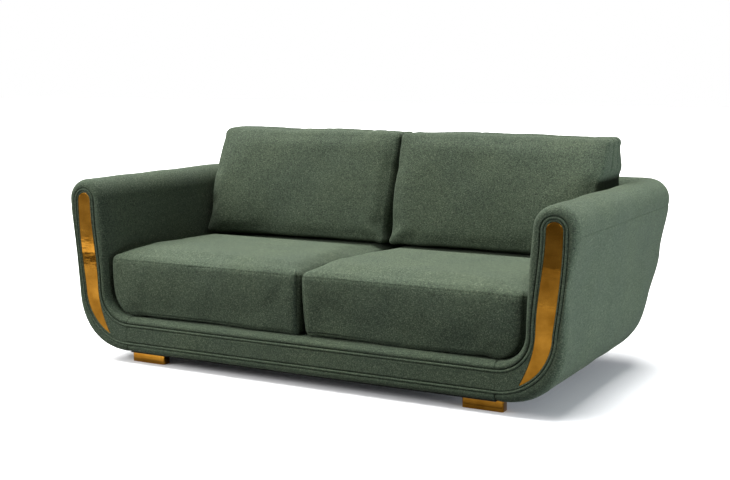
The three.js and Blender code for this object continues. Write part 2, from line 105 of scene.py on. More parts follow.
# ---- the sofa's curves
def shell(form, t_low, t_high, top):
    """Points (out, z) of the outer shell: the low superellipse at t_low, then the flank at t_high."""
    knee = UNDER + form["rise"]
    angle = np.asarray(t_low) * HALF_TURN
    low_out = form["flat"] + form["run"] * np.sin(angle) ** (2 / form["power"])
    low_z = knee - form["rise"] * np.cos(angle) ** (2 / form["power"])
    z = lerp(knee, top, np.asarray(t_high))
    flare = form["flare"] * smooth((z - form["start"]) / (FLARE_END - form["start"]))
    high_out = form["flat"] + form["run"] + form["lean"] * (z - knee) + flare
    return np.r_[low_out, high_out], np.r_[low_z, z]


def corner_radius(z):
    """Plan radius of the rear corners: larger where the covers tuck under."""
    low = np.clip((TUCK_TOP - z) / (TUCK_TOP - UNDER), 0, 1) ** 2
    swell = np.sin(np.pi * np.clip((z - UNDER) / (SWELL_TOP - UNDER), 0, 1)) ** 2
    return REAR_CORNER + CORNER_TUCK * low + CORNER_SWELL * swell


def inner_flank(z):
    return INNER_FLANK + INNER_FLARE * np.maximum((z - CORNER_Z) / (ROLL_Z - CORNER_Z), 0) ** 2


def inner_back(z):
    return ROLL_Y - ROLL_R - BACK_LEAN * (ROLL_Z - z)


def outer_line(quarter, rise):
    """The piping's outer leg (x, z): the lower quarter turn, then the rise to the round top."""
    r = LINE["outer"] - SEAM_X
    run = LINE["top_x"] + LINE["top_r"] - LINE["outer"]
    a = np.asarray(quarter) * HALF_TURN
    turn = np.c_[SEAM_X + r * np.sin(a), LINE["low"] + r - r * np.cos(a)]
    t = np.asarray(rise)
    leg = np.c_[LINE["outer"] + run * np.sin(t * HALF_TURN), lerp(LINE["low"] + r, LINE["top_z"], t)]
    return np.r_[turn, leg]


def inner_line(quarter, rise):
    """The piping's inner leg, from the rail up to the round top."""
    r = LINE["inner"] - SEAM_X
    run = LINE["top_x"] - LINE["top_r"] - LINE["inner"]
    a = np.asarray(quarter) * HALF_TURN
    turn = np.c_[SEAM_X + r * np.sin(a), LINE["high"] + r - r * np.cos(a)]
    t = np.asarray(rise)
    leg = np.c_[LINE["inner"] + run * smooth(t), lerp(LINE["high"] + r, LINE["top_z"], t)]
    return np.r_[turn, leg]


def top_line(angle, radius=LINE["top_r"]):
    a = np.asarray(angle)
    return np.c_[LINE["top_x"] + radius * np.cos(a), LINE["top_z"] + radius * np.sin(a)]


def relaxed(points, rounds):
    """Takes small kinks out of a dense line; its ends stay."""
    out = np.array(points, float)
    for _ in range(rounds):
        out[1:-1] = 0.25 * out[:-2] + 0.5 * out[1:-1] + 0.25 * out[2:]
    return out


# Rows run round the arm's section: hem, flank, side seam, roll, inner face, seat corner, deck edge.
# A row holds its place on the arm (x, z), on the back (y, back z), its plan corner radius and the
# matching point of the piping's line (px, pz).
SEAM_STEPS = np.array([0.0, 0.0015, 0.003, 0.005, 0.008, 0.012])
FLANK_END = 0.014  # where the flank's even rows stop, below the seam
LONG_ROWS, ROLL_ROWS, CORNER_COUNT = 34, 40, 20
BACK_SOFTENING, LINE_SOFTENING = 80, 6  # rounds of smoothing


def make_rows():
    """The rows, and where each of the five stretches ends: cover, seam, roll, inner face, corner."""
    knee = UNDER + SIDE["rise"]
    tall = SIDE_SEAM - knee
    low = np.linspace(0, 1, LONG_ROWS)
    flank = np.r_[low[1:-1] * (tall - FLANK_END), tall - SEAM_STEPS[::-1]] / tall
    side_x, side_z = shell(SIDE, low, flank, SIDE_SEAM)
    back_y, back_z = shell(BACK, low, flank, SIDE_SEAM)
    line = outer_line(low, flank * tall / (ROLL_Z - knee))
    cover = np.c_[side_x, side_z, back_y, back_z, corner_radius(side_z), line]
    # The back's low curve meets its flank at a slight edge, which padding would soften.
    cover[:, 2:4] = relaxed(cover[:, 2:4], BACK_SOFTENING)

    z = SIDE_SEAM + SEAM_STEPS
    t = SEAM_STEPS / (ROLL_Z - SIDE_SEAM)
    line = outer_line([], (z - knee) / (ROLL_Z - knee))
    radius = np.full(len(z), REAR_CORNER)
    seam = np.c_[lerp(side_x[-1], HALF_WIDTH, t), z, lerp(back_y[-1], DEPTH, t), z, radius, line]

    a = np.linspace(0, math.pi, ROLL_ROWS)
    out, up = ROLL_R * np.cos(a), ROLL_R * np.sin(a)
    radius = np.maximum(REAR_CORNER - ROLL_R + out, TIGHT_CORNER)
    roll = np.c_[ROLL_X + out, ROLL_Z + up, ROLL_Y + out, ROLL_Z + up, radius, top_line(a)]

    t = low[1:]
    z = lerp(ROLL_Z, CORNER_Z, t)
    bz = lerp(ROLL_Z, DECK_TOP + 0.002, t)
    line = inner_line([], 1 - t)
    inner = np.c_[inner_flank(z), z, inner_back(bz), bz, np.full(len(z), TIGHT_CORNER), line]

    q = np.linspace(1, 0, CORNER_COUNT)[1:]
    a = (1 - q) * HALF_TURN
    no_back = np.zeros((len(q), 3))
    x = SEAM_X + CORNER_IN * np.cos(a)
    corner = np.c_[x, CORNER_Z - CORNER_IN * np.sin(a), no_back, inner_line(q, [])]

    rows = np.r_[cover, seam, roll, inner, corner]
    rows[:, 5:7] = relaxed(rows[:, 5:7], LINE_SOFTENING)
    return rows, np.cumsum([len(cover), len(seam), len(roll), len(inner), len(corner)])


ROWS, (COVER_END, SEAM_END, _, PAD_END, ROW_END) = make_rows()
COVER_ROWS = slice(0, COVER_END)
PAD_ROWS = slice(COVER_END, PAD_END)
CORNER_ROWS = slice(PAD_END - 1, ROW_END)


# ---- meshes
WAVES = 9


def undulation(p, size, wave):
    """The gentle unevenness of padded cloth: a few waves of seeded direction and phase."""
    local = np.random.default_rng(3)
    total = np.zeros(p.shape[:-1])
    for _ in range(WAVES):
        k = local.normal(size=3)
        k *= 2 * math.pi / (np.linalg.norm(k) * wave * local.uniform(0.6, 1.7))
        total += np.sin(p @ k + local.uniform(0, 2 * math.pi))
    return total * size / math.sqrt(WAVES)


def on_face(xz, depth):
    """Points (x, y, z) from points (x, z) at a depth behind the front face."""
    y = np.broadcast_to(FRONT + depth, xz.shape[:-1])
    return np.stack([xz[..., 0], y, xz[..., 1]], axis=-1)


def grid_normals(p):
    """Unit normals of a grid of points whose rows and columns turn the same way everywhere."""
    return unit(np.cross(np.gradient(p, axis=1), np.gradient(p, axis=0)))


def mesh_piece(name, verts, faces, material, normals=None):
    """A smooth-shaded object in the scene; normals, if given, set its shading point by point."""
    mesh = bpy.data.meshes.new(name)
    mesh.from_pydata(np.asarray(verts).tolist(), [], [list(map(int, f)) for f in faces])
    mesh.validate()
    mesh.shade_smooth()
    if normals is not None:
        mesh.normals_split_custom_set_from_vertices(normals.tolist())
    mesh.materials.append(material)
    obj = bpy.data.objects.new(name, mesh)
    bpy.context.scene.collection.objects.link(obj)
    return obj


def grid_quads(n, m):
    """The quads of a grid of n by m points, numbered row by row."""
    i, j = np.meshgrid(np.arange(n - 1), np.arange(m - 1), indexing="ij")
    a = (i * m + j).ravel()
    return np.c_[a, a + 1, a + m + 1, a + m]


def skin(name, points, material, normals=None, thickness=CLOTH):
    """A closed skin: the grid of points outside, its offset inside, and walls round the rim."""
    if normals is None:
        normals = grid_normals(points)
    n, m = points.shape[:2]
    verts = np.r_[points.reshape(-1, 3), (points - normals * thickness).reshape(-1, 3)]
    quads = grid_quads(n, m)
    right, left = m - 1 + m * np.arange(1, n), m * np.arange(n - 2, 0, -1)
    rim = np.r_[np.arange(m), right, (n - 1) * m + np.arange(m - 2, -1, -1), left]
    after = np.roll(rim, -1)
    walls = np.c_[after, rim, rim + n * m, after + n * m]
    faces = np.concatenate([quads, quads[:, ::-1] + n * m, walls])
    shading = np.r_[normals.reshape(-1, 3), -normals.reshape(-1, 3)]
    return mesh_piece(name, verts, faces, material, shading)


def tube(name, path, radius, material, sides=12):
    """A closed loop of cord in the plane of the front face."""
    ahead = unit(np.roll(path, -1, axis=0) - np.roll(path, 1, axis=0))
    across = np.cross(ahead, [0, 1, 0])
    a = np.linspace(0, 2 * math.pi, sides, endpoint=False)
    ring = across[:, None] * np.cos(a)[:, None] + np.array([0, 1, 0]) * np.sin(a)[:, None]
    verts = (path[:, None] + ring * radius).reshape(-1, 3)
    i, j = np.indices((len(path), sides)).reshape(2, -1)
    i2, j2 = (i + 1) % len(path), (j + 1) % sides
    faces = np.c_[i * sides + j, i2 * sides + j, i2 * sides + j2, i * sides + j2]
    return mesh_piece(name, verts, faces, material)


def box_net(step, lo, hi, radius, cuts, turns):
    """A closed box of quads with rounded edges; cuts are extra lines of the net along each axis."""
    lo, hi = np.array(lo, float), np.array(hi, float)
    arc = radius * (1 - np.tan(np.linspace(1, 0, turns + 1) * math.pi / 4))
    marks = []
    for k in range(3):
        count = max(2, round((hi[k] - lo[k] - 2 * radius) / step))
        even = np.linspace(lo[k] + radius, hi[k] - radius, count + 1)[1:-1]
        line = np.r_[lo[k] + arc, even, hi[k] - arc[::-1]]
        if len(cuts[k]):
            line = np.unique(np.round(np.r_[line, cuts[k]], 6))
        marks.append(line)
    verts, faces, base = [], [], 0
    for axis in range(3):
        u, v = (axis + 1) % 3, (axis + 2) % 3
        for end in (0, 1):
            gu, gv = np.meshgrid(marks[u], marks[v], indexing="ij")
            pts = np.empty(gu.shape + (3,))
            pts[..., u], pts[..., v], pts[..., axis] = gu, gv, (hi if end else lo)[axis]
            quads = grid_quads(*gu.shape) + base
            faces.append(quads if end == 0 else quads[:, ::-1])
            verts.append(pts.reshape(-1, 3))
            base += gu.size
    verts = np.concatenate(verts)
    _, first, back = np.unique(np.round(verts, 6), axis=0, return_index=True, return_inverse=True)
    verts, faces = verts[first], back.ravel()[np.concatenate(faces)]
    core = np.clip(verts, lo + radius, hi - radius)
    return core + unit(verts - core) * radius, faces


# ---- materials
WHITE = (1.0, 1.0, 1.0)


def feed(tree, node, inputs):
    """Sets a node's inputs, each to a plain value or to the socket that feeds it."""
    for name, value in inputs.items():
        if isinstance(value, bpy.types.NodeSocket):
            tree.links.new(value, node.inputs[name])
        else:
            node.inputs[name].default_value = value


def add(tree, kind, inputs, **settings):
    node = tree.nodes.new(f"ShaderNode{kind}")
    for name, value in settings.items():
        setattr(node, name, value)
    feed(tree, node, inputs)
    return node


def new_material(name):
    """A material, its node tree, its shader and the socket with object coordinates."""
    material = bpy.data.materials.new(name)
    material.use_nodes = True
    tree = material.node_tree
    return material, tree, tree.nodes["Principled BSDF"], add(tree, "TexCoord", {}).outputs["Object"]


def noise(tree, place, scale, detail=2.0, rough=0.5, stretch=None):
    if stretch is not None:
        place = add(tree, "Mapping", {"Vector": place, "Scale": stretch}).outputs["Vector"]
    inputs = {"Vector": place, "Scale": scale, "Detail": detail, "Roughness": rough}
    return add(tree, "TexNoise", inputs).outputs["Fac"]


def ramp(tree, value, *stops):
    node = add(tree, "ValToRGB", {"Fac": value})
    bands = node.color_ramp.elements
    while len(bands) < len(stops):
        bands.new(0.5)
    for band, (place, colour) in zip(bands, stops):
        band.position = place
        band.color = (*colour, 1.0)
    return node.outputs["Color"]


def multiplied(tree, a, b, factor):
    node = add(tree, "Mix", {}, data_type="RGBA", blend_type="MULTIPLY")
    feed(tree, node, {"Factor": factor, 6: a, 7: b})
    return node.outputs[2]


def calculated(tree, operation, a, b):
    return add(tree, "Math", {0: a, 1: b}, operation=operation).outputs["Value"]


def ranged(tree, value, start, end, low=0.0, high=1.0):
    """Takes a value that runs from low to high into one that runs from start to end."""
    inputs = {"Value": value, "From Min": low, "From Max": high, "To Min": start, "To Max": end}
    return add(tree, "MapRange", inputs).outputs["Result"]


def bumped(tree, shader, *layers):
    """Bump layers of (height, distance, strength), each on top of the one before."""
    under = {}
    for height, distance, strength in layers:
        inputs = {"Height": height, "Distance": distance, "Strength": strength, **under}
        under = {"Normal": add(tree, "Bump", inputs).outputs["Normal"]}
    feed(tree, shader, under)


FABRIC_TONES = (
    (0.0, (0.056, 0.079, 0.051)),
    (0.45, (0.083, 0.114, 0.073)),
    (0.80, (0.112, 0.147, 0.094)),
    (0.97, (0.155, 0.190, 0.126)),
)
MOTTLE = ((90.0, 0.84), (240.0, 0.68))  # the scale of each layer and its darkest tone


def make_fabric(name, depth=1.0, nub=370.0):
    """Heathered forest green: nubs of mixed yarn with darker gaps, mottled, with a slow tonal drift."""
    material, tree, shader, place = new_material(name)
    cells = add(tree, "TexVoronoi", {"Vector": place, "Scale": nub})
    distance = cells.outputs["Distance"]
    split = add(tree, "SeparateColor", {"Color": cells.outputs["Color"]})
    yarn = ramp(tree, split.outputs[0], *FABRIC_TONES)
    fine = noise(tree, place, 900.0, 2.0, 0.6)
    speckle = ramp(tree, fine, (0.30, (0.62, 0.62, 0.62)), (0.70, WHITE))
    gaps = ramp(tree, distance, (0.25, WHITE), (0.75, (0.60, 0.62, 0.60)))
    slow = noise(tree, place, 5.0, 3.0, 0.5)
    drift = ramp(tree, slow, (0.30, (0.86, 0.88, 0.90)), (0.70, (1.0, 1.0, 0.97)))
    colour = multiplied(tree, yarn, speckle, 0.8)
    colour = multiplied(tree, colour, gaps, 0.8)
    colour = multiplied(tree, colour, drift, 1.0)
    for scale, low in MOTTLE:
        clumps = noise(tree, place, scale, 2.0, 0.6)
        mottle = ramp(tree, clumps, (0.36, (low, low, low)), (0.64, WHITE))
        colour = multiplied(tree, colour, mottle, 1.0)
    feed(tree, shader, {
        "Base Color": colour,
        "Roughness": ranged(tree, fine, 0.84, 0.98),
        "Specular IOR Level": 0.18,
        "Sheen Weight": 0.08,
        "Sheen Roughness": 0.32,
        "Sheen Tint": (0.66, 0.82, 0.60, 1.0),
    })
    hand = noise(tree, place, 38.0, 3.0, 0.6)
    lumps = noise(tree, place, 150.0, 2.0, 0.6)
    nubs = calculated(tree, "SUBTRACT", 1.0, distance)
    bumped(
        tree, shader,
        (hand, 0.0012, 0.30), (lumps, 0.0016 * depth, 0.30),
        (nubs, 0.0014 * depth, 0.85), (fine, 0.0006, 0.6),
    )
    return material


def make_brass(name):
    material, tree, shader, place = new_material(name)
    film = noise(tree, place, 14.0, 4.0, 0.6)
    smear = noise(tree, place, 60.0, 4.0, 0.65)
    feed(tree, shader, {
        "Base Color": ramp(tree, film, (0.32, (0.165, 0.070, 0.0065)), (0.68, (0.27, 0.126, 0.016))),
        "Roughness": ranged(tree, smear, 0.03, 0.09),
        "Metallic": 1.0,
    })
    wave = noise(tree, place, 8.0, 1.0, 0.4)
    ripple = noise(tree, place, 26.0, 2.0, 0.5, (0.5, 1.0, 1.6))
    bumped(tree, shader, (wave, 0.004, 0.16), (ripple, 0.0012, 0.15))
    return material


def make_timber(name, along):
    """Sawn softwood with its grain along one axis."""
    material, tree, shader, place = new_material(name)
    stretch = [14.0, 14.0, 14.0]
    stretch[along] = 0.9
    grain = noise(tree, place, 7.0, 5.0, 0.62, stretch)
    pores = noise(tree, place, 42.0, 3.0, 0.7, stretch)
    pale, mid, dark = (0.56, 0.37, 0.20), (0.45, 0.27, 0.13), (0.27, 0.14, 0.06)
    colour = ramp(tree, grain, (0.30, pale), (0.52, mid), (0.72, dark))
    fibre = ramp(tree, pores, (0.35, (0.80, 0.78, 0.75)), (0.65, WHITE))
    feed(tree, shader, {"Base Color": multiplied(tree, colour, fibre, 0.8), "Roughness": 0.72})
    bumped(tree, shader, (grain, 0.0008, 0.25), (pores, 0.0004, 0.35))
    return material


def make_steel(name):
    material, tree, shader, place = new_material(name)
    bloom = noise(tree, place, 90.0, 4.0, 0.6)
    feed(tree, shader, {
        "Base Color": ramp(tree, bloom, (0.3, (0.32, 0.33, 0.35)), (0.7, (0.52, 0.53, 0.54))),
        "Roughness": ranged(tree, bloom, 0.28, 0.50),
        "Metallic": 0.95,
    })
    bumped(tree, shader, (bloom, 0.0003, 0.15))
    return material


def make_webbing(name):
    """Jute webbing: two crossing sets of ribs with dark edge threads."""
    material, tree, shader, place = new_material(name)
    ribs = []
    for axis, scale in (("X", 150.0), ("Z", 210.0)):
        inputs = {"Vector": place, "Scale": scale, "Distortion": 1.2}
        ribs.append(add(tree, "TexWave", inputs, bands_direction=axis).outputs["Fac"])
    both = calculated(tree, "MULTIPLY", *ribs)
    thread = noise(tree, place, 300.0, 2.0, 0.6)
    base = ramp(tree, both, (0.1, (0.20, 0.15, 0.09)), (0.8, (0.47, 0.38, 0.24)))
    wear = ramp(tree, thread, (0.3, (0.75, 0.75, 0.75)), (0.7, WHITE))
    feed(tree, shader, {"Base Color": multiplied(tree, base, wear, 0.7), "Roughness": 0.9})
    bumped(tree, shader, (both, 0.0006, 0.5))
    return material


def make_lining(name):
    """Black spun-bonded felt, as used under seats."""
    material, tree, shader, place = new_material(name)
    fibres = noise(tree, place, 220.0, 5.0, 0.7)
    cells = add(tree, "TexVoronoi", {"Vector": place, "Scale": 420.0}).outputs["Distance"]
    colour = ramp(tree, fibres, (0.3, (0.010, 0.010, 0.011)), (0.7, (0.036, 0.036, 0.038)))
    feed(tree, shader, {"Base Color": colour, "Roughness": 0.88})
    bumped(tree, shader, (fibres, 0.0006, 0.4), (cells, 0.0004, 0.4))
    return material


fabric = make_fabric("fabric_green")
cord_fabric = make_fabric("fabric_green_cord", 0.6, 430.0)
brass = make_brass("brass_polished")
timber = [make_timber(f"timber_{axis}", k) for k, axis in enumerate("xyz")]
steel = make_steel("steel_spring")
webbing = make_webbing("webbing_jute")
lining = make_lining("lining_black")


def finish_piece(obj, node, body="frame"):
    """A detailed piece stands for one CAD node, rides on its body and hides that node."""
    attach(obj, body)
    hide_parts(node)


# ---- the upholstered shell
GROOVE_DEPTH = 0.0095
GROOVE_HALF = 0.0043  # half the width of the channel's floor
OUTER_LIP, INNER_LIP = 0.0074, 0.0044  # how far the rounded lips reach beyond it


def groove(d, lip):
    """Depth behind the face at distance d from the piping's line: a channel with rounded lips."""
    s = np.clip((d - GROOVE_HALF) / lip, 0, 1)
    return GROOVE_DEPTH * (1 - np.sqrt(1 - (1 - s) ** 2))


# Columns run from the piping over the rounded front edge, along the arm and round to the back's middle.
LIP = np.array([0.0, 0.0025, 0.0043, 0.0046, 0.0052, 0.0061, 0.0073, 0.0088, 0.0104, 0.0120])
ROUND = steps(16)
ALONG = steps(45)
TURN = steps(18)
ACROSS = steps(39)
FRONT_COLS = len(LIP) + len(ROUND)
ARM_END = FRONT_COLS + len(ALONG) + len(TURN) // 2  # the pads' mitre
SIDE_END = FRONT_COLS + len(ALONG) + len(TURN)  # where side and back covers meet
FACE_POWER = 2.15


def front_edge(edge, line):
    """The rounded front border from the piping's line to the outline's edge, both rows of (x, z)."""
    gap = edge - line
    width = np.linalg.norm(gap, axis=1, keepdims=True)
    aim = gap / width
    cols = [(np.full_like(width, d), float(groove(d, OUTER_LIP))) for d in LIP]
    for t in ROUND:
        u = math.sin(t * HALF_TURN) ** (2 / FACE_POWER)
        v = 1 - math.cos(t * HALF_TURN) ** (2 / FACE_POWER)
        cols.append((LIP[-1] + (width - LIP[-1]) * u, FACE_DEPTH * v))
    out = np.empty((len(edge), len(cols), 3))
    for k, (d, depth) in enumerate(cols):
        out[:, k] = on_face(line + aim * d, depth)
    return out


# Seams are drawn in by a depth, over a half width.
SIDE_DIP = (0.0026, 0.0040)
CORNER_DIP = (0.0018, 0.0045)
BORDER_DIP = (0.0036, 0.0032)
BAND_DIP = (0.0012, 0.0035)
DECK_DIP = (0.0035, 0.012)
RAIL_DIP_HALF = 0.0036
CUSHION_DIP_HALF = 0.0034
FAR = 1.0  # a distance at which a seam isn't felt


def valley(distance, depth, half):
    """A seam's dip at a distance from it."""
    return -depth * np.exp(-((distance / half) ** 2))


def make_body():
    """The whole upholstered shell, rows by columns, right front to left front, and its normals."""
    rows = ROWS[:PAD_END]
    x, z, y, bz, r = rows[:, :5].T
    y = y + FRONT
    start = FRONT + FACE_DEPTH
    cols = [front_edge(rows[:, :2], rows[:, 5:7])]
    for t in ALONG:
        cols.append(np.c_[x, lerp(start, y - r, t), z][:, None])
    for t in TURN:
        a = t * HALF_TURN
        turn_z = lerp(z, bz, smooth(t))
        cols.append(np.c_[x - r + r * math.cos(a), y - r + r * math.sin(a), turn_z][:, None])
    for t in ACROSS:
        cols.append(np.c_[(x - r) * (1 - t), y, bz][:, None])
    half = np.concatenate(cols, axis=1)
    full = np.concatenate([half, (half * [-1, 1, 1])[:, -2::-1]], axis=1)
    normals = grid_normals(full)
    ease = np.ones(full.shape[1])
    ease[:FRONT_COLS] = np.r_[np.zeros(len(LIP)), smooth(ROUND)]
    ease[-FRONT_COLS:] = ease[:FRONT_COLS][::-1]
    height = np.abs(rows[:, 1] - SIDE_SEAM)
    height[SEAM_END:] = FAR
    move = undulation(full, 0.0011, 0.30) + valley(height, *SIDE_DIP)[:, None]
    for column in (SIDE_END, full.shape[1] - 1 - SIDE_END):
        away = np.linalg.norm(full - full[:, column : column + 1], axis=-1)
        away[SEAM_END:] = FAR
        move = move + valley(away, *CORNER_DIP)
    full = full + normals * (move * ease)[..., None]
    return full, grid_normals(full)


BODY, BODY_NORMALS = make_body()


def both_sides(points):
    """The right side's grid of points, and its mirror image for the left."""
    return ("right", points), ("left", (points * [-1, 1, 1])[:, ::-1])


def padded_pair(name, node, points, thickness=CLOTH):
    """A padded skin on the right and its mirror image on the left."""
    for side, shape in both_sides(points):
        piece = skin(f"{name}_{side}", shape, fabric, thickness=thickness)
        finish_piece(piece, f"{node}_{side}")


def strip(name, node, rows, columns):
    """A part of the body's grid as a piece of its own."""
    piece = skin(name, BODY[rows, columns], fabric, BODY_NORMALS[rows, columns])
    finish_piece(piece, node)


def make_shell():
    """The outer covers below the seam and the pads above it, cut from the one body."""
    last = BODY.shape[1]
    for side in ("right", "left"):
        for name, node, rows, end in (
            ("side_cover", "outer_side_cover", COVER_ROWS, SIDE_END + 1),
            ("arm_roll", "arm_pad", PAD_ROWS, ARM_END + 1),
        ):
            near = FRONT_COLS - 1
            columns = slice(near, end) if side == "right" else slice(last - end, last - near)
            strip(f"{name}_{side}", f"{node}_{side}", rows, columns)
    strip("back_cover", "outer_back_cover", COVER_ROWS, slice(SIDE_END, last - SIDE_END))
    strip("back_roll", "back_pad", PAD_ROWS, slice(ARM_END, last - ARM_END))


HEM_ROWS, DECK_ROWS = 12, 5  # a border's first and last rows, which meet the rail's borders


def make_borders():
    """The rounded border of each arm front, round the arm's whole section down to the seat corner."""
    border = front_edge(ROWS[:, :2], ROWS[:, 5:7])
    border[:PAD_END] = BODY[:PAD_END, :FRONT_COLS]
    seam = np.abs(np.abs(border[..., 0]) - (SEAM_X + 0.002))
    row = np.arange(len(ROWS))
    meets_rail = (row < HEM_ROWS) | (row >= len(ROWS) - DECK_ROWS)
    dip = valley(seam, *BORDER_DIP) * meets_rail[:, None]
    border = border + grid_normals(border) * dip[..., None]
    padded_pair("front_border", "arm_front_border", border)


def make_corner_pads():
    """The padded fillets where arms and seat meet."""
    rows = ROWS[CORNER_ROWS]
    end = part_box("seat_corner_pad_right")[1].y
    places = np.linspace(FRONT + FACE_DEPTH, end, 40)
    points = np.stack([np.c_[rows[:, 0], np.full(len(rows), y), rows[:, 1]] for y in places], axis=1)
    points = points + grid_normals(points) * undulation(points, 0.0009, 0.22)[..., None]
    padded_pair("seat_fillet", "seat_corner_pad", points, 0.006)


RAIL_END = 0.02  # stretch at each end of the rail where the net's lines crowd towards the join


def make_rail():
    """The rail's front: two rounded borders and the flat band between the piping's two runs."""
    width = 2 * SEAM_X
    crowd = np.linspace(0, 1, 7) ** 1.6 * RAIL_END
    x = np.r_[crowd, np.linspace(RAIL_END, width - RAIL_END, 120)[1:-1], width - crowd[::-1]] - SEAM_X
    flat = np.full_like(x, 1.0)
    low = front_edge(np.c_[x, flat * UNDER], np.c_[x, flat * LINE["low"]])
    high = front_edge(np.c_[-x, flat * DECK_TOP], np.c_[-x, flat * LINE["high"]])
    tall = LINE["high"] - LINE["low"]
    d = np.r_[LIP, np.linspace(LIP[-1], tall - LIP[-1], 14)[1:-1], tall - LIP[::-1]]
    band = np.empty((len(x), len(d), 3))
    band[..., 0] = x[:, None]
    band[..., 1] = FRONT + groove(d, OUTER_LIP) + groove(tall - d, OUTER_LIP)
    band[..., 2] = LINE["high"] - d
    for name, node, points, dip in (
        ("rail_welt_low", "rail_lower_border", low, 0.0042),
        ("rail_welt_high", "rail_upper_border", high, 0.0042),
        ("rail_face", "rail_band", band, 0.0016),
    ):
        away = SEAM_X + 0.001 - np.abs(points[..., 0])
        move = undulation(points, 0.0007, 0.25) + valley(away, dip, RAIL_DIP_HALF)
        piece = skin(name, points + grid_normals(points) * move[..., None], fabric)
        finish_piece(piece, node)


# ---- arm fronts: band, brass and piping
def inlay_edges():
    """The blade's outer and inner edges from its round top down to the tip, rows of (x, z)."""
    radius = LINE["top_r"] - INLAY["margin"]
    a = np.linspace(90, 0, 24) * math.pi / 180
    t = np.linspace(0, 1, 80)
    leg = outer_line(t, t[1:])
    ahead = unit(np.gradient(leg, axis=0))
    leg = leg + np.c_[-ahead[:, 1], ahead[:, 0]] * INLAY["margin"]
    leg = leg[leg[:, 0] > INLAY["tip_x"]][::-1]
    tip = np.array([[INLAY["tip_x"], INLAY["tip_z"]]])
    outer = np.r_[top_line(a, radius), leg[1:], tip]
    t = steps(39)
    blade = np.c_[INLAY["edge"] + INLAY["lift"] * smooth(1 - t), lerp(LINE["top_z"], INLAY["bend"], t)]
    s = t[:, None]
    bend, pull = np.array([INLAY["edge"], INLAY["bend"]]), np.array([INLAY["edge"], INLAY["pull"]])
    sweep = (1 - s) ** 2 * bend + 2 * s * (1 - s) * pull + s**2 * tip
    inner = np.r_[top_line(math.pi - a, radius), blade, sweep]
    return outer, relaxed(inner, 8)


def resampled(line, at):
    length = np.r_[0, np.cumsum(np.linalg.norm(np.diff(line, axis=0), axis=1))]
    return np.stack([np.interp(at * length[-1], length, line[:, k]) for k in range(2)], axis=1)


def edge_distance(points, outline):
    """Signed distance from points (..., 2) to a closed outline: negative inside."""
    flat = points.reshape(-1, 2)
    nxt = np.roll(outline, -1, axis=0)
    span = nxt - outline
    best = np.full(len(flat), 1e9)
    inside = np.zeros(len(flat), bool)
    for p, q, v in zip(outline, nxt, span):
        w = flat - p
        t = np.clip((w @ v) / max(v @ v, 1e-18), 0, 1)
        best = np.minimum(best, np.linalg.norm(w - t[:, None] * v, axis=1))
        crosses = (p[1] > flat[:, 1]) != (q[1] > flat[:, 1])
        if abs(v[1]) > 1e-12:
            inside ^= crosses & (flat[:, 0] < p[0] + (flat[:, 1] - p[1]) * v[0] / v[1])
    return np.where(inside, -best, best).reshape(points.shape[:-1])


def ladder():
    """Rungs of the arm's front band, from the outer to the inner leg: two arrays of (x, z)."""
    q, t = np.linspace(0, 1, 60), steps(129)
    a = np.linspace(0, 88, 46)[1:] * math.pi / 180
    return np.r_[outer_line(q, t), top_line(a)], np.r_[inner_line(q, t), top_line(math.pi - a)]


POCKET = 0.0045  # how far the cloth drops under the brass
EDGE_SHARE = 0.13  # share of the band's width, at each side, where its lines lie closer


def make_arm_fronts():
    """The flat band inside the piping, sunk under the brass blade, and the blade itself."""
    outer, inner = ladder()
    top, bottom = inlay_edges()
    ends = np.linspace(0, EDGE_SHARE, 14)
    across = np.r_[ends, np.linspace(EDGE_SHARE, 1 - EDGE_SHARE, 56)[1:-1], 1 - ends[::-1]]
    xz = outer[:, None] + (inner - outer)[:, None] * across[:, None]
    q = np.linspace(0, 1, 90)
    hairpin = np.r_[outer_line(q, q), top_line(q * math.pi)[1:-1], inner_line(q, q)[::-1]]
    near = -edge_distance(xz, np.r_[hairpin, [[0, LINE["high"]], [0, LINE["low"]]]])
    rim = edge_distance(xz, np.r_[top, bottom[-2:0:-1]])
    drop = POCKET * (1 - smooth((rim + 0.0006) / 0.0028))
    depth = groove(np.maximum(near, 0), INNER_LIP) + drop
    points = on_face(xz, depth)
    away = np.abs(points[..., 0] - SEAM_X + 0.001)
    wave = undulation(points, 0.0005, 0.2) * np.clip(near / 0.01, 0, 1)
    points[..., 1] -= valley(away, *BAND_DIP) + wave
    padded_pair("front_band", "arm_front_band", points[:, ::-1])
    make_inlays(top, bottom)


BEVEL = 0.0008  # the brass plates' softened edge


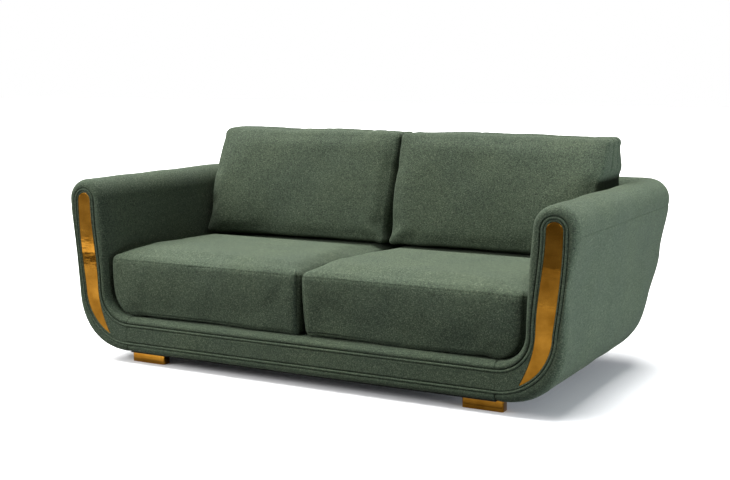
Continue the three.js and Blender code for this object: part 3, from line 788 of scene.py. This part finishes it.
def make_inlays(top, bottom):
    """The brass blades, between their outer and inner edges, with a small bevel all round."""
    count = 130
    at = (1 - np.cos(np.linspace(0.03, 1, count) * math.pi)) / 4 + np.linspace(0.0, 0.5, count)
    at = at / at[-1]
    at[0] = 0.002
    a, b = resampled(top, at), resampled(bottom, at)
    a[-1], b[-1] = top[-1] + [0.0003, 0.0006], top[-1] + [0, 0.0012]  # a blunt tip
    gap = b - a
    width = np.linalg.norm(gap, axis=1, keepdims=True)
    edge = gap / width * np.minimum(BEVEL, width * 0.3)
    shares = (0.0, 0.35, 1.0)
    cols = [a + edge * share for share in shares]
    cols += [lerp(a + edge, b - edge, t) for t in np.linspace(0, 1, 12)[1:-1]]
    cols += [b - edge * share for share in shares[::-1]]
    xz = np.stack(cols, axis=1)
    rim = np.clip(-edge_distance(xz, np.r_[a, b[::-1]]), 0, BEVEL) / BEVEL
    depth = INLAY_FACE + BEVEL * (1 - np.sqrt(1 - (1 - rim) ** 2))
    points = on_face(xz, depth)
    for side, shape in both_sides(points):
        flat = (rim if side == "right" else rim[:, ::-1]) > 0.98
        normals = np.where(flat[..., None], [0.0, -1.0, 0.0], grid_normals(shape))
        piece = skin(f"brass_blade_{side}", shape, brass, normals, INLAY_BACK - INLAY_FACE - BEVEL)
        finish_piece(piece, f"brass_inlay_{side}")


def make_piping():
    """One cord round the whole U, lying in the groove between borders and band."""
    q, t = np.linspace(0, 1, 80), steps(159)
    a = np.linspace(0, math.pi, 60)[1:-1]
    right = np.r_[outer_line(q, t), top_line(a), inner_line(q, t)[::-1]]
    run = np.linspace(SEAM_X, -SEAM_X, 150)[1:-1]
    high = np.c_[run, np.full(len(run), LINE["high"])]
    low = np.c_[-run, np.full(len(run), LINE["low"])]
    loop = np.r_[right, high, (right * [-1, 1])[::-1], low]
    for _ in range(3):
        loop = 0.25 * np.roll(loop, 1, axis=0) + 0.5 * loop + 0.25 * np.roll(loop, -1, axis=0)
    path = on_face(loop, CORD_Y)
    path[:, 1] += undulation(path, 0.0003, 0.12)
    finish_piece(tube("piping_cord", path, CORD_R, cord_fabric), "piping")


# ---- feet, deck and dust cover
FOOT_CORNER, FOOT_BEVEL = 0.0075, 0.0014
FOOT_GAP = 0.001  # between the dust cover and each foot
FELT = 0.0008  # the dust cover's thickness
FELT_CELL = 0.02
REAR_ROUND = 0.170  # radius of the dust cover's rear corners


def rounded_block(name, lo, hi, corner, bevel, material):
    """An upright block with rounded corners and softened top and bottom edges."""
    quarter = np.linspace(0, HALF_TURN, 9)
    centre, half = (lo + hi) / 2, (hi - lo) / 2
    ring = []
    for k, (sx, sy) in enumerate(((1, 1), (-1, 1), (-1, -1), (1, -1))):
        a = quarter + k * HALF_TURN
        x = sx * (half.x - corner) + corner * np.cos(a)
        ring.append(np.c_[x, sy * (half.y - corner) + corner * np.sin(a)])
    ring = np.concatenate(ring)
    out = unit(ring - np.sign(ring) * [half.x - corner, half.y - corner])
    bend = np.linspace(0, HALF_TURN, 4)
    levels = [(lo.z + bevel * (1 - math.cos(a)), bevel * (1 - math.sin(a))) for a in bend]
    levels += [(hi.z - z + lo.z, inset) for z, inset in levels[::-1]]
    verts, n = [], len(ring)
    for z, inset in levels:
        xy = ring - out * inset
        verts.append(np.c_[xy[:, 0] + centre.x, xy[:, 1] + centre.y, np.full(n, z)])
    faces = []
    for base in range(0, (len(levels) - 1) * n, n):
        for j in range(n):
            j2 = (j + 1) % n
            faces.append((base + j, base + j2, base + n + j2, base + n + j))
    faces.append(range(n - 1, -1, -1))
    faces.append(range((len(levels) - 1) * n, len(levels) * n))
    obj = mesh_piece(name, np.concatenate(verts), faces, material)
    obj.data.set_sharp_from_angle(angle=math.radians(40))
    return obj


def make_feet():
    for place in ("front_right", "front_left", "rear_right", "rear_left"):
        lo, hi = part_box(f"foot_{place}")
        obj = rounded_block(f"brass_foot_{place}", lo, hi, FOOT_CORNER, FOOT_BEVEL, brass)
        finish_piece(obj, f"foot_{place}")


def make_deck():
    """The padded deck: its top is slightly crowned, with one seam lengthwise and one across."""
    lo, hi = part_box("seat_deck")
    verts, faces = box_net(0.022, lo, hi, 0.0065, ((), (), ()), 3)
    on_top = smooth((verts[:, 2] - lo.z - 0.006) / 0.005)
    crown = 0.0030 * (1 - (verts[:, 0] / hi.x) ** 4)
    seams = np.minimum(np.abs(verts[:, 0]), np.abs(verts[:, 1] - lo.y - 0.12))
    dip = valley(seams, *DECK_DIP)
    verts[:, 2] += on_top * (crown + dip + undulation(verts, 0.0012, 0.16) - 0.0035)
    obj = mesh_piece("deck_pad", verts, faces, fabric)
    finish_piece(obj, "seat_deck")


def make_dust_cover():
    """Felt over the whole underside, cut out round the feet, sagging a little between the rails."""
    lo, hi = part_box("dust_cover")
    foot = {place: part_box(f"foot_{place}_right") for place in ("front", "rear")}
    feet_y = [box[k].y + (FOOT_GAP if k else -FOOT_GAP) for box in foot.values() for k in (0, 1)]
    round_y = [hi.y - REAR_ROUND * share for share in (1.0, 0.6, 0.3, 0.1)]
    marks = sorted([lo.y, *feet_y, *round_y, hi.y])
    parts = []
    for a, b in zip(marks, marks[1:]):
        parts.append(np.linspace(a, b, max(2, round((b - a) / FELT_CELL)) + 1)[:-1])
    y = np.r_[np.concatenate(parts), hi.y]
    core = foot["rear"][0].x - FOOT_GAP
    share = (foot["front"][0].x - FOOT_GAP - core) / (hi.x - core)
    inner = np.linspace(0, 1, 29) * core
    outer = np.r_[np.linspace(0, share, 4)[1:], np.linspace(share, 1, 8)[1:]]
    turn = np.clip((y - (hi.y - REAR_ROUND)) / REAR_ROUND, 0, 1)
    half = (hi.x - REAR_ROUND + REAR_ROUND * np.sqrt(1 - turn**2))[:, None]
    right = np.concatenate([np.repeat(inner[None], len(y), 0), core + (half - core) * outer], axis=1)
    x = np.concatenate([-right[:, :0:-1], right], axis=1)
    points = np.stack([x, np.repeat(y[:, None], x.shape[1], 1), np.zeros_like(x)], axis=-1)
    rim = np.minimum(np.minimum(y - lo.y, hi.y - y)[:, None], half - np.abs(x))
    wave = np.abs(undulation(points + [0, 0, 0.3], 0.0006, 0.2))
    sag = 0.0022 * smooth(rim / 0.12) + wave * smooth(rim / 0.03)
    on_centre_rail = np.exp(-((x / 0.05) ** 2))
    points[..., 2] = lo.z + 0.0004 - sag * (1 - on_centre_rail)
    mid_x = np.abs((x[:-1, :-1] + x[1:, 1:]) / 2)
    mid_y = ((y[:-1] + y[1:]) / 2)[:, None]
    cut = np.zeros(mid_x.shape, bool)
    for box in foot.values():
        inside_y = (mid_y > box[0].y - FOOT_GAP) & (mid_y < box[1].y + FOOT_GAP)
        cut |= inside_y & (mid_x > box[0].x - FOOT_GAP)
    felt, area = thin_sheet("dust_cover_felt", points, ~cut, FELT)
    finish_piece(felt, "dust_cover")


def thin_sheet(name, points, keep, thickness):
    """A closed sheet from the kept cells of a grid, with walls along every cut edge, and its area."""
    n, m = points.shape[:2]
    quads = grid_quads(n, m)[keep.ravel()][:, ::-1]
    verts = np.r_[points.reshape(-1, 3), points.reshape(-1, 3) + [0, 0, thickness]]
    edges = {}
    for quad in quads.tolist():
        for edge in zip(quad, quad[1:] + quad[:1]):
            edges[edge] = True
    walls = [(q, p, p + n * m, q + n * m) for p, q in edges if (q, p) not in edges]
    faces = quads.tolist() + (quads[:, ::-1] + n * m).tolist() + walls
    used = np.unique(np.concatenate([np.ravel(f) for f in faces]))
    new = np.full(len(verts), -1)
    new[used] = np.arange(len(used))
    a, b, c, d = verts[quads].transpose(1, 0, 2)
    area = np.linalg.norm(np.cross(c - a, d - b), axis=1).sum() / 2
    obj = mesh_piece(name, verts[used], [[new[i] for i in f] for f in faces], lining)
    return obj, float(area)


# ---- cushions
SEAT_LO, SEAT_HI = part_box("seat_cushion_right")
BACK_LO, BACK_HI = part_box("back_cushion_right")
SEAT_EDGE = 0.399  # height of the seat cushions' top edge at its corners
SEAT_REST = BACK_LO.z - 0.0012  # the seat cushions' tops stay below the back cushions
SEAT_SEAM = 0.3815  # the top seam, before the crown lifts it
SEAT_HEM = 0.187
SEAT_CEILING = SEAT_HI.z + 0.014
CORNER_TURN = 0.030  # plan radius of the seat cushions' front corners
CROWN_FOOT = 0.29  # above it a seat cushion's sides follow the crown
BACK_NET = 0.200  # thickness of the back cushions' net, before its section is shaped
BACK_SEAM = 0.072
BACK_TOP_Y = 0.226  # the front of the back cushions at their top
SEAM_LINES = np.array([-0.009, -0.0045, -0.0022, 0.0, 0.0022, 0.0045, 0.009])
FINE_STEP, COARSE_STEP = 0.011, 0.016
SWELL = 0.5  # share of the blown-up form that the filling keeps
SWELL_FRAMES = 20
SWELL_CLOTH = dict(
    quality=4, mass=0.25, tension_stiffness=18, compression_stiffness=18, shear_stiffness=8,
    bending_stiffness=0.6, shrink_min=-0.012, use_pressure=True, uniform_pressure_force=4.0,
    vertex_group_mass="stiff", pin_stiffness=1.0,
)


def across_span(v, lo, hi):
    """Runs from -1 at lo to 1 at hi."""
    return (v - lo) / (hi - lo) * 2 - 1


def rounded_plan(x, y):
    """Rounds the two front corners in plan, from square to circle."""
    middle = (SEAT_LO.x + SEAT_HI.x) / 2
    side = np.sign(x - middle)
    dx = np.abs(x - middle) - ((SEAT_HI.x - SEAT_LO.x) / 2 - CORNER_TURN)
    dy = SEAT_LO.y + CORNER_TURN - y
    both = (dx > 0) & (dy > 0)
    share = np.where(both, np.maximum(dx, dy) / np.maximum(np.hypot(dx, dy), 1e-9), 1.0)
    return np.where(both, x - side * dx * (1 - share), x), np.where(both, y + dy * (1 - share), y)


def beside_arm(z, clearance):
    """How far out a seat cushion may reach at a height: the arm's fillet below, its side above."""
    drop = np.clip(CORNER_Z - z, 0, CORNER_IN - 0.001)
    return np.where(z < CORNER_Z, SEAM_X + np.sqrt(CORNER_IN**2 - drop**2) - clearance, SEAT_HI.x)


def seat_shape(p):
    """Net to cushion: the lower outer edge follows the arm's fillet, the top is crowned."""
    x, y, z = p.T
    x, y = rounded_plan(x, y)
    limit = beside_arm(z, 0.0022)
    x = SEAT_LO.x + (x - SEAT_LO.x) * (limit - SEAT_LO.x) / (SEAT_HI.x - SEAT_LO.x)
    u = np.clip(across_span(x, SEAT_LO.x, SEAT_HI.x), -1, 1)
    v = np.clip(across_span(y, SEAT_LO.y, SEAT_HI.y), -1, 1)
    along = 0.007 + 0.030 * np.clip(1 - np.abs((v + 0.12) / 0.88) ** 3.4, 0, 1)
    crown = along * (1 - np.abs(u) ** lerp(9.0, 2.0, smooth((v + 0.55) / 0.95)))
    z = z + crown * smooth((z - CROWN_FOOT) / (SEAT_EDGE - CROWN_FOOT))
    tall = np.clip((z - SEAT_LO.z) / (SEAT_EDGE - SEAT_LO.z), 0, 1)
    swell = 4 * tall * (1 - tall)
    front = smooth((SEAT_LO.y + 0.12 - y) / 0.12)
    y = y + front * 0.005 * (1 - swell * (1 - 0.35 * u**2))
    return np.c_[x, y, z]


def eased(v, limit, soft):
    """Holds v below a limit, easing into it over the last soft metres."""
    over = np.maximum(v - limit + soft, 0)
    return np.where(over > 0, limit - soft + soft * np.tanh(over / soft), v)


def seat_hold(p):
    """Keeps a seat cushion clear of the deck, its neighbours and the back cushion above it."""
    x, y, z = p.T
    x = np.clip(x, SEAT_LO.x, beside_arm(z, 0.0018))
    y = np.minimum(-eased(-y, 0.010 - SEAT_LO.y, 0.012), SEAT_HI.y)
    z = np.maximum(eased(z, SEAT_CEILING, 0.008), SEAT_LO.z)
    z = np.minimum(z, lerp(SEAT_CEILING, SEAT_REST, smooth((y - BACK_LO.y + 0.14) / 0.10)))
    return np.c_[x, y, z]


def rear_face(z):
    """The back cushions' rear: against the inner back, then drawn in above the roll."""
    low = inner_back(np.minimum(z, ROLL_Z)) + FRONT - 0.005
    return low - 0.064 * smooth((z - 0.600) / (BACK_HI.z - 0.600))


def front_face(z):
    t = np.clip((z - BACK_LO.z) / (BACK_HI.z - BACK_LO.z), 0, 1)
    return lerp(BACK_LO.y, BACK_TOP_Y, t) - 0.011 * np.sin(np.pi * t)


def back_shape(p):
    """Net to cushion: a leaning section, fullest towards the arm and at its outer foot."""
    x, y, z = p.T
    u = across_span(x, BACK_LO.x, BACK_HI.x)
    t = np.clip((z - BACK_LO.z) / (BACK_HI.z - BACK_LO.z), 0, 1)
    full = (0.008 * (1 - u**2) + 0.018 * smooth((u + 0.2) / 1.1)) * np.sin(np.pi * t) ** 0.7
    full = full + 0.030 * smooth((u - 0.2) / 0.7) * (1 - t) ** 1.3
    y = lerp(front_face(z), rear_face(z), y / BACK_NET) - full * (1 - y / BACK_NET)
    z = z - 0.006 * u**8 * smooth((t - 0.8) / 0.2)
    return np.c_[x, y, z]


def back_hold(p):
    """Keeps a back cushion clear of the inner back, its neighbour and the seat cushion below it."""
    x, y, z = p.T
    over_arm = smooth((z - ARM_TOP) / 0.06)
    x = np.maximum(eased(x, BACK_HI.x + 0.022 * over_arm, 0.006), BACK_LO.x)
    z = np.maximum(eased(z, BACK_HI.z + 0.004, 0.006), BACK_LO.z)
    y = np.clip(y, BACK_LO.y - 0.042, rear_face(z) + 0.003)
    return np.c_[x, y, z]


def swollen(name, verts, faces, cap, stiff):
    """Blows a cushion up as cloth under pressure and gives each point's capped move."""
    mesh = bpy.data.meshes.new(name)
    mesh.from_pydata(verts.tolist(), [], faces.tolist())
    scene = bpy.context.scene
    obj = bpy.data.objects.new(name, mesh)
    scene.collection.objects.link(obj)
    group = obj.vertex_groups.new(name="stiff")
    for index in np.flatnonzero(stiff):
        group.add([int(index)], float(stiff[index]), "REPLACE")
    cloth = obj.modifiers.new("cloth", "CLOTH").settings
    for setting, value in SWELL_CLOTH.items():
        setattr(cloth, setting, value)
    cloth.effector_weights.gravity = 0.0
    for step in range(1, SWELL_FRAMES + 1):
        scene.frame_set(step)
    done = obj.evaluated_get(bpy.context.evaluated_depsgraph_get())
    flat = np.empty(len(verts) * 3)
    done.data.vertices.foreach_get("co", flat)
    scene.frame_set(1)
    move = flat.reshape(-1, 3) - verts
    bpy.data.objects.remove(obj)
    bpy.data.meshes.remove(mesh)
    size = np.linalg.norm(move, axis=1, keepdims=True)
    return move * np.minimum(1, cap / np.maximum(size, 1e-9))


def carried(move, coarse, fine, reach):
    """Carries the coarse net's moves to a finer net, weighted by nearness."""
    tree = KDTree(len(coarse))
    for k, co in enumerate(coarse):
        tree.insert(co, k)
    tree.balance()
    out = np.zeros_like(fine)
    for k, co in enumerate(fine):
        near = tree.find_n(co, 6)
        w = np.array([math.exp(-((d / reach) ** 2)) + 1e-9 for _, _, d in near])
        out[k] = w @ move[[i for _, i, _ in near]] / w.sum()
    return out


def vertex_normals(verts, faces):
    """Unit normals of a mesh of quads, weighted by area."""
    n = np.cross(verts[faces[:, 2]] - verts[faces[:, 0]], verts[faces[:, 3]] - verts[faces[:, 1]])
    total = np.zeros_like(verts)
    for k in range(4):
        np.add.at(total, faces[:, k], n)
    return unit(total)


def tucks(x, depth, centres, width):
    """Short dips that run in from a seam, one at each centre, fading with the distance from it."""
    total = np.zeros_like(x)
    for centre in centres:
        total += np.exp(-(((x - centre) / width) ** 2))
    return -total * np.exp(-depth)


def seat_creases(seed):
    """Small tucks along the front edge of the top, at seeded places."""
    local = np.random.default_rng(seed)
    centres = local.uniform(SEAT_LO.x + 0.05, SEAT_HI.x - 0.05, 7)

    def crease(p):
        front = np.abs(p[:, 1] - SEAT_LO.y - 0.03) / 0.030 + np.abs(p[:, 2] - SEAT_EDGE) / 0.030
        return 0.0010 * tucks(p[:, 0], front, centres, 0.016)

    return crease


def back_creases(centres, depth):
    """Tucks that run down from the top, at places read from the photo."""

    def crease(p):
        top = np.maximum(BACK_HI.z - p[:, 2], 0) / 0.035
        return depth * tucks(p[:, 0], top, centres, 0.010)

    return crease


# The spread is how far each cushion leans out over the arm at its top.
KINDS = {
    "seat": dict(
        lo=np.array([SEAT_LO.x, SEAT_LO.y, SEAT_LO.z]),
        hi=np.array([SEAT_HI.x, SEAT_HI.y, SEAT_EDGE]),
        radius=0.021, shape=seat_shape, hold=seat_hold, cap=0.022, stitch=0.0012, fill=0.85,
        seam_axis=2, seams=(SEAT_HEM, SEAT_SEAM),
        creases={"right": seat_creases(11), "left": seat_creases(12)},
        spread={"right": 0.0, "left": 0.0},
    ),
    "back": dict(
        lo=np.array([BACK_LO.x, 0.0, BACK_LO.z]),
        hi=np.array([BACK_HI.x, BACK_NET, BACK_HI.z - 0.002]),
        radius=0.020, shape=back_shape, hold=back_hold, cap=0.024, stitch=0.0042, fill=0.75,
        seam_axis=1, seams=(BACK_SEAM, BACK_NET - BACK_SEAM),
        creases={
            "right": back_creases((0.052, 0.31, 0.60, 0.74), 0.0022),
            "left": back_creases((0.045, 0.105, 0.165, 0.50), 0.0030),
        },
        spread={"right": 0.020, "left": 0.003},
    ),
}


def cushion_net(kind, step, fine):
    """The box that a cushion is shaped from; the fine one has close lines along the seams."""
    lines = [()] * 3
    spread = SEAM_LINES if fine else [0.0]
    lines[kind["seam_axis"]] = [seam + d for seam in kind["seams"] for d in spread]
    return box_net(step, kind["lo"], kind["hi"], kind["radius"], lines, 5 if fine else 2)


def kept_swell(name, kind, fine):
    """The part of the blown-up form that the filling keeps, as moves of the fine net."""
    net, faces = cushion_net(kind, COARSE_STEP, False)
    coarse = kind["shape"](net)
    axis = kind["seam_axis"]
    off_seam = np.min([np.abs(net[:, axis] - seam) for seam in kind["seams"]], axis=0)
    edge = np.abs(net - (kind["lo"] + kind["hi"]) / 2) / ((kind["hi"] - kind["lo"]) / 2)
    edge[:, axis] = 0
    stiff = np.where((off_seam < 0.001) & (edge.max(axis=1) > 0.93), 0.9, 0.0)
    move = swollen(f"{name}_form", coarse, faces, kind["cap"], stiff)
    return carried(move, coarse, fine, COARSE_STEP) * SWELL


def make_cushions(name):
    """The right and left cushion of a kind: one swollen form, with each side's own waves and creases."""
    kind = KINDS[name]
    axis, radius = kind["seam_axis"], kind["radius"]
    net, faces = cushion_net(kind, FINE_STEP, True)
    rest = kind["shape"](net)
    points = rest + kept_swell(name, kind, rest)
    normals = vertex_normals(points, faces)
    wall = np.abs(net - np.clip(net, kind["lo"] + 0.8 * radius, kind["hi"] - 0.8 * radius))
    wall[:, axis] = 0
    on_wall = smooth(wall.max(axis=1) / (0.15 * radius))
    dips = [valley(net[:, axis] - seam, kind["stitch"], CUSHION_DIP_HALF) for seam in kind["seams"]]
    above_arm = smooth((rest[:, 2] - 0.60) / 0.15) * smooth(rest[:, 0] / BACK_HI.x)
    for side, sign in (("right", 1), ("left", -1)):
        place = rest * [sign, 1, 1]
        ripple = undulation(place, 0.0026, 0.26) + undulation(place * 1.9 + 0.7, 0.0010, 0.26)
        move = sum(dips) * on_wall + ripple + kind["creases"][side](rest)
        shape = points + normals * move[:, None]
        shape[:, 0] += kind["spread"][side] * above_arm
        shape = kind["hold"](shape) * [sign, 1, 1]
        quads = faces if sign > 0 else faces[:, ::-1]
        obj = mesh_piece(f"{name}_cushion_soft_{side}", shape, quads, fabric)
        body = f"{name}_cushion_{side}"
        finish_piece(obj, body, body)


# ---- carried-over nodes
TIMBER_NODES = (
    "base_", "arm_front_board", "arm_rear_board", "arm_top", "arm_lower", "back_rib", "back_top"
)


def dress(node, material):
    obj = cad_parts[node]
    obj.data.materials.clear()
    obj.data.materials.append(material)
    for slot in obj.material_slots:
        slot.material = material


def dress_frame():
    """Timber grain runs along each rail's longest side; springs and bolts are steel."""
    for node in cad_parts:
        lo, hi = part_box(node)
        if node.startswith(("seat_spring", "foot_bolt")):
            dress(node, steel)
        elif node.startswith("back_webbing"):
            dress(node, webbing)
        elif node.startswith(TIMBER_NODES):
            size = hi - lo
            dress(node, timber[max(range(3), key=lambda k: size[k])])


# ---- stage, light and camera
CAMERA_PLACE = (2.1886, -4.1426, 1.1027)
CAMERA_TURN, CAMERA_FALL = math.radians(28.29), math.radians(7.97)
CAMERA_LENS = 60.75
FLOOR_REACH = 30.0
CARDS = {  # two corners on the floor, height, shade
    "foot": ((0.2, -0.95), (1.6, -0.56), 0.002, 0.40),
    "front": ((-4.5, -2.35), (5.0, -0.95), 0.003, 0.42),
    "near": ((-1.3, -3.4), (5.0, -2.35), 0.004, 0.26),
    "next": ((-1.3, -9.0), (5.0, -3.4), 0.004, 0.10),
    "far": ((-7.0, -9.0), (-1.3, -3.05), 0.004, 0.30),
    "slip": ((-4.0, -2.70), (-1.3, -2.36), 0.006, 0.05),
}
SUN_POWER, SUN_SOFTNESS, SUN_TILT = 8.9, 60, (-6, -18)  # angles in degrees
AREA_LIGHTS = {  # place, target, width, height, power, colour
    "side": ((3.1, -0.4, 0.36), (1.0, 0.0, 0.40), 2.2, 0.55, 86.0, (0.93, 1.0, 1.10)),
    "front": ((-2.7, -2.9, 2.0), (-0.2, -0.2, 0.45), 2.0, 1.6, 135.0, WHITE),
}
LIGHT_ABOVE, LIGHT_BELOW = 0.36, 0.08  # strengths of the world's light
LIGHT_LEFT, LIGHT_RIGHT = 1.1, 0.45  # what those are multiplied by, from side to side


def make_camera():
    data = bpy.data.cameras.new("camera")
    data.lens = CAMERA_LENS
    data.sensor_width = 36.0
    data.clip_end = 100.0
    camera = bpy.data.objects.new("camera", data)
    bpy.context.scene.collection.objects.link(camera)
    camera.location = CAMERA_PLACE
    camera.rotation_euler = (HALF_TURN - CAMERA_FALL, 0, CAMERA_TURN)
    bpy.context.scene.camera = camera


def make_lamp(name, kind, place, turn, **settings):
    data = bpy.data.lights.new(name, kind)
    for setting, value in settings.items():
        setattr(data, setting, value)
    lamp = bpy.data.objects.new(name, data)
    bpy.context.scene.collection.objects.link(lamp)
    lamp.location = place
    lamp.rotation_euler = turn
    return lamp


def make_lights():
    """A very soft sun overhead, and two area lights that the camera doesn't see."""
    turn = (math.radians(SUN_TILT[0]), math.radians(SUN_TILT[1]), 0)
    softness = math.radians(SUN_SOFTNESS)
    make_lamp("overhead", "SUN", (0, 0, 0), turn, energy=SUN_POWER, angle=softness)
    for name, (place, target, width, height, power, colour) in AREA_LIGHTS.items():
        turn = (Vector(target) - Vector(place)).to_track_quat("-Z", "Y").to_euler()
        lamp = make_lamp(
            name, "AREA", place, turn,
            shape="RECTANGLE", size=width, size_y=height, energy=power, color=colour,
        )
        lamp.visible_camera = False


def studio_plane(name, material_name, lo, hi, z, shades, mottle, matt):
    """A level sheet of the studio, faintly mottled between two shades of grey; nothing is lit by it."""
    material, tree, shader, place = new_material(material_name)
    dark, light = shades
    tone = noise(tree, place, *mottle)
    colour = ramp(tree, tone, (0.3, (dark, dark, dark)), (0.7, (light, light, light)))
    feed(tree, shader, {"Base Color": colour, "Roughness": matt[0], "Specular IOR Level": matt[1]})
    verts = [(lo[0], lo[1], z), (hi[0], lo[1], z), (hi[0], hi[1], z), (lo[0], hi[1], z)]
    obj = mesh_piece(name, verts, [(0, 1, 2, 3)], material)
    obj.visible_diffuse = False
    return obj


def make_stage():
    """A pale floor, dark cards on it that only reflections see, and the studio's light."""
    far = (FLOOR_REACH, FLOOR_REACH)
    near = (-FLOOR_REACH, -FLOOR_REACH)
    studio_plane("studio_floor", "floor_pale", near, far, 0, (0.900, 0.915), (2.0, 3.0), (0.95, 0.1))
    for name, (lo, hi, z, shade) in CARDS.items():
        name = f"studio_card_{name}"
        shades = (shade * 0.8, shade * 1.2)
        card = studio_plane(name, name, lo, hi, z, shades, (1.5, 2.0), (1.0, 0.0))
        card.visible_camera = False
        card.visible_shadow = False
    make_world()
    make_lights()
    scene = bpy.context.scene
    scene.view_settings.view_transform = "Standard"
    scene.view_settings.look = "None"


def make_world():
    """Even studio light, dimmer from below and from the right; the backdrop itself is white."""
    world = bpy.data.worlds.new("studio")
    world.use_nodes = True
    tree = world.node_tree
    aim = add(tree, "TexCoord", {}).outputs["Generated"]
    split = add(tree, "SeparateXYZ", {"Vector": aim}).outputs
    across = ranged(tree, split["X"], LIGHT_LEFT, LIGHT_RIGHT, -0.6, 0.8)
    upward = ranged(tree, split["Z"], LIGHT_BELOW, LIGHT_ABOVE, -0.3, 0.3)
    light = calculated(tree, "MULTIPLY", upward, across)
    in_view = add(tree, "LightPath", {}).outputs["Is Camera Ray"]
    strength = add(tree, "Mix", {"Factor": in_view, "A": light, "B": 1.0}).outputs["Result"]
    feed(tree, tree.nodes["Background"], {"Color": (*WHITE, 1.0), "Strength": strength})
    bpy.context.scene.world = world


# ---- the sofa
make_camera()
make_shell()
make_borders()
make_corner_pads()
make_rail()
make_arm_fronts()
make_piping()
make_feet()
make_deck()
make_dust_cover()
make_cushions("seat")
make_cushions("back")
dress_frame()
make_stage()
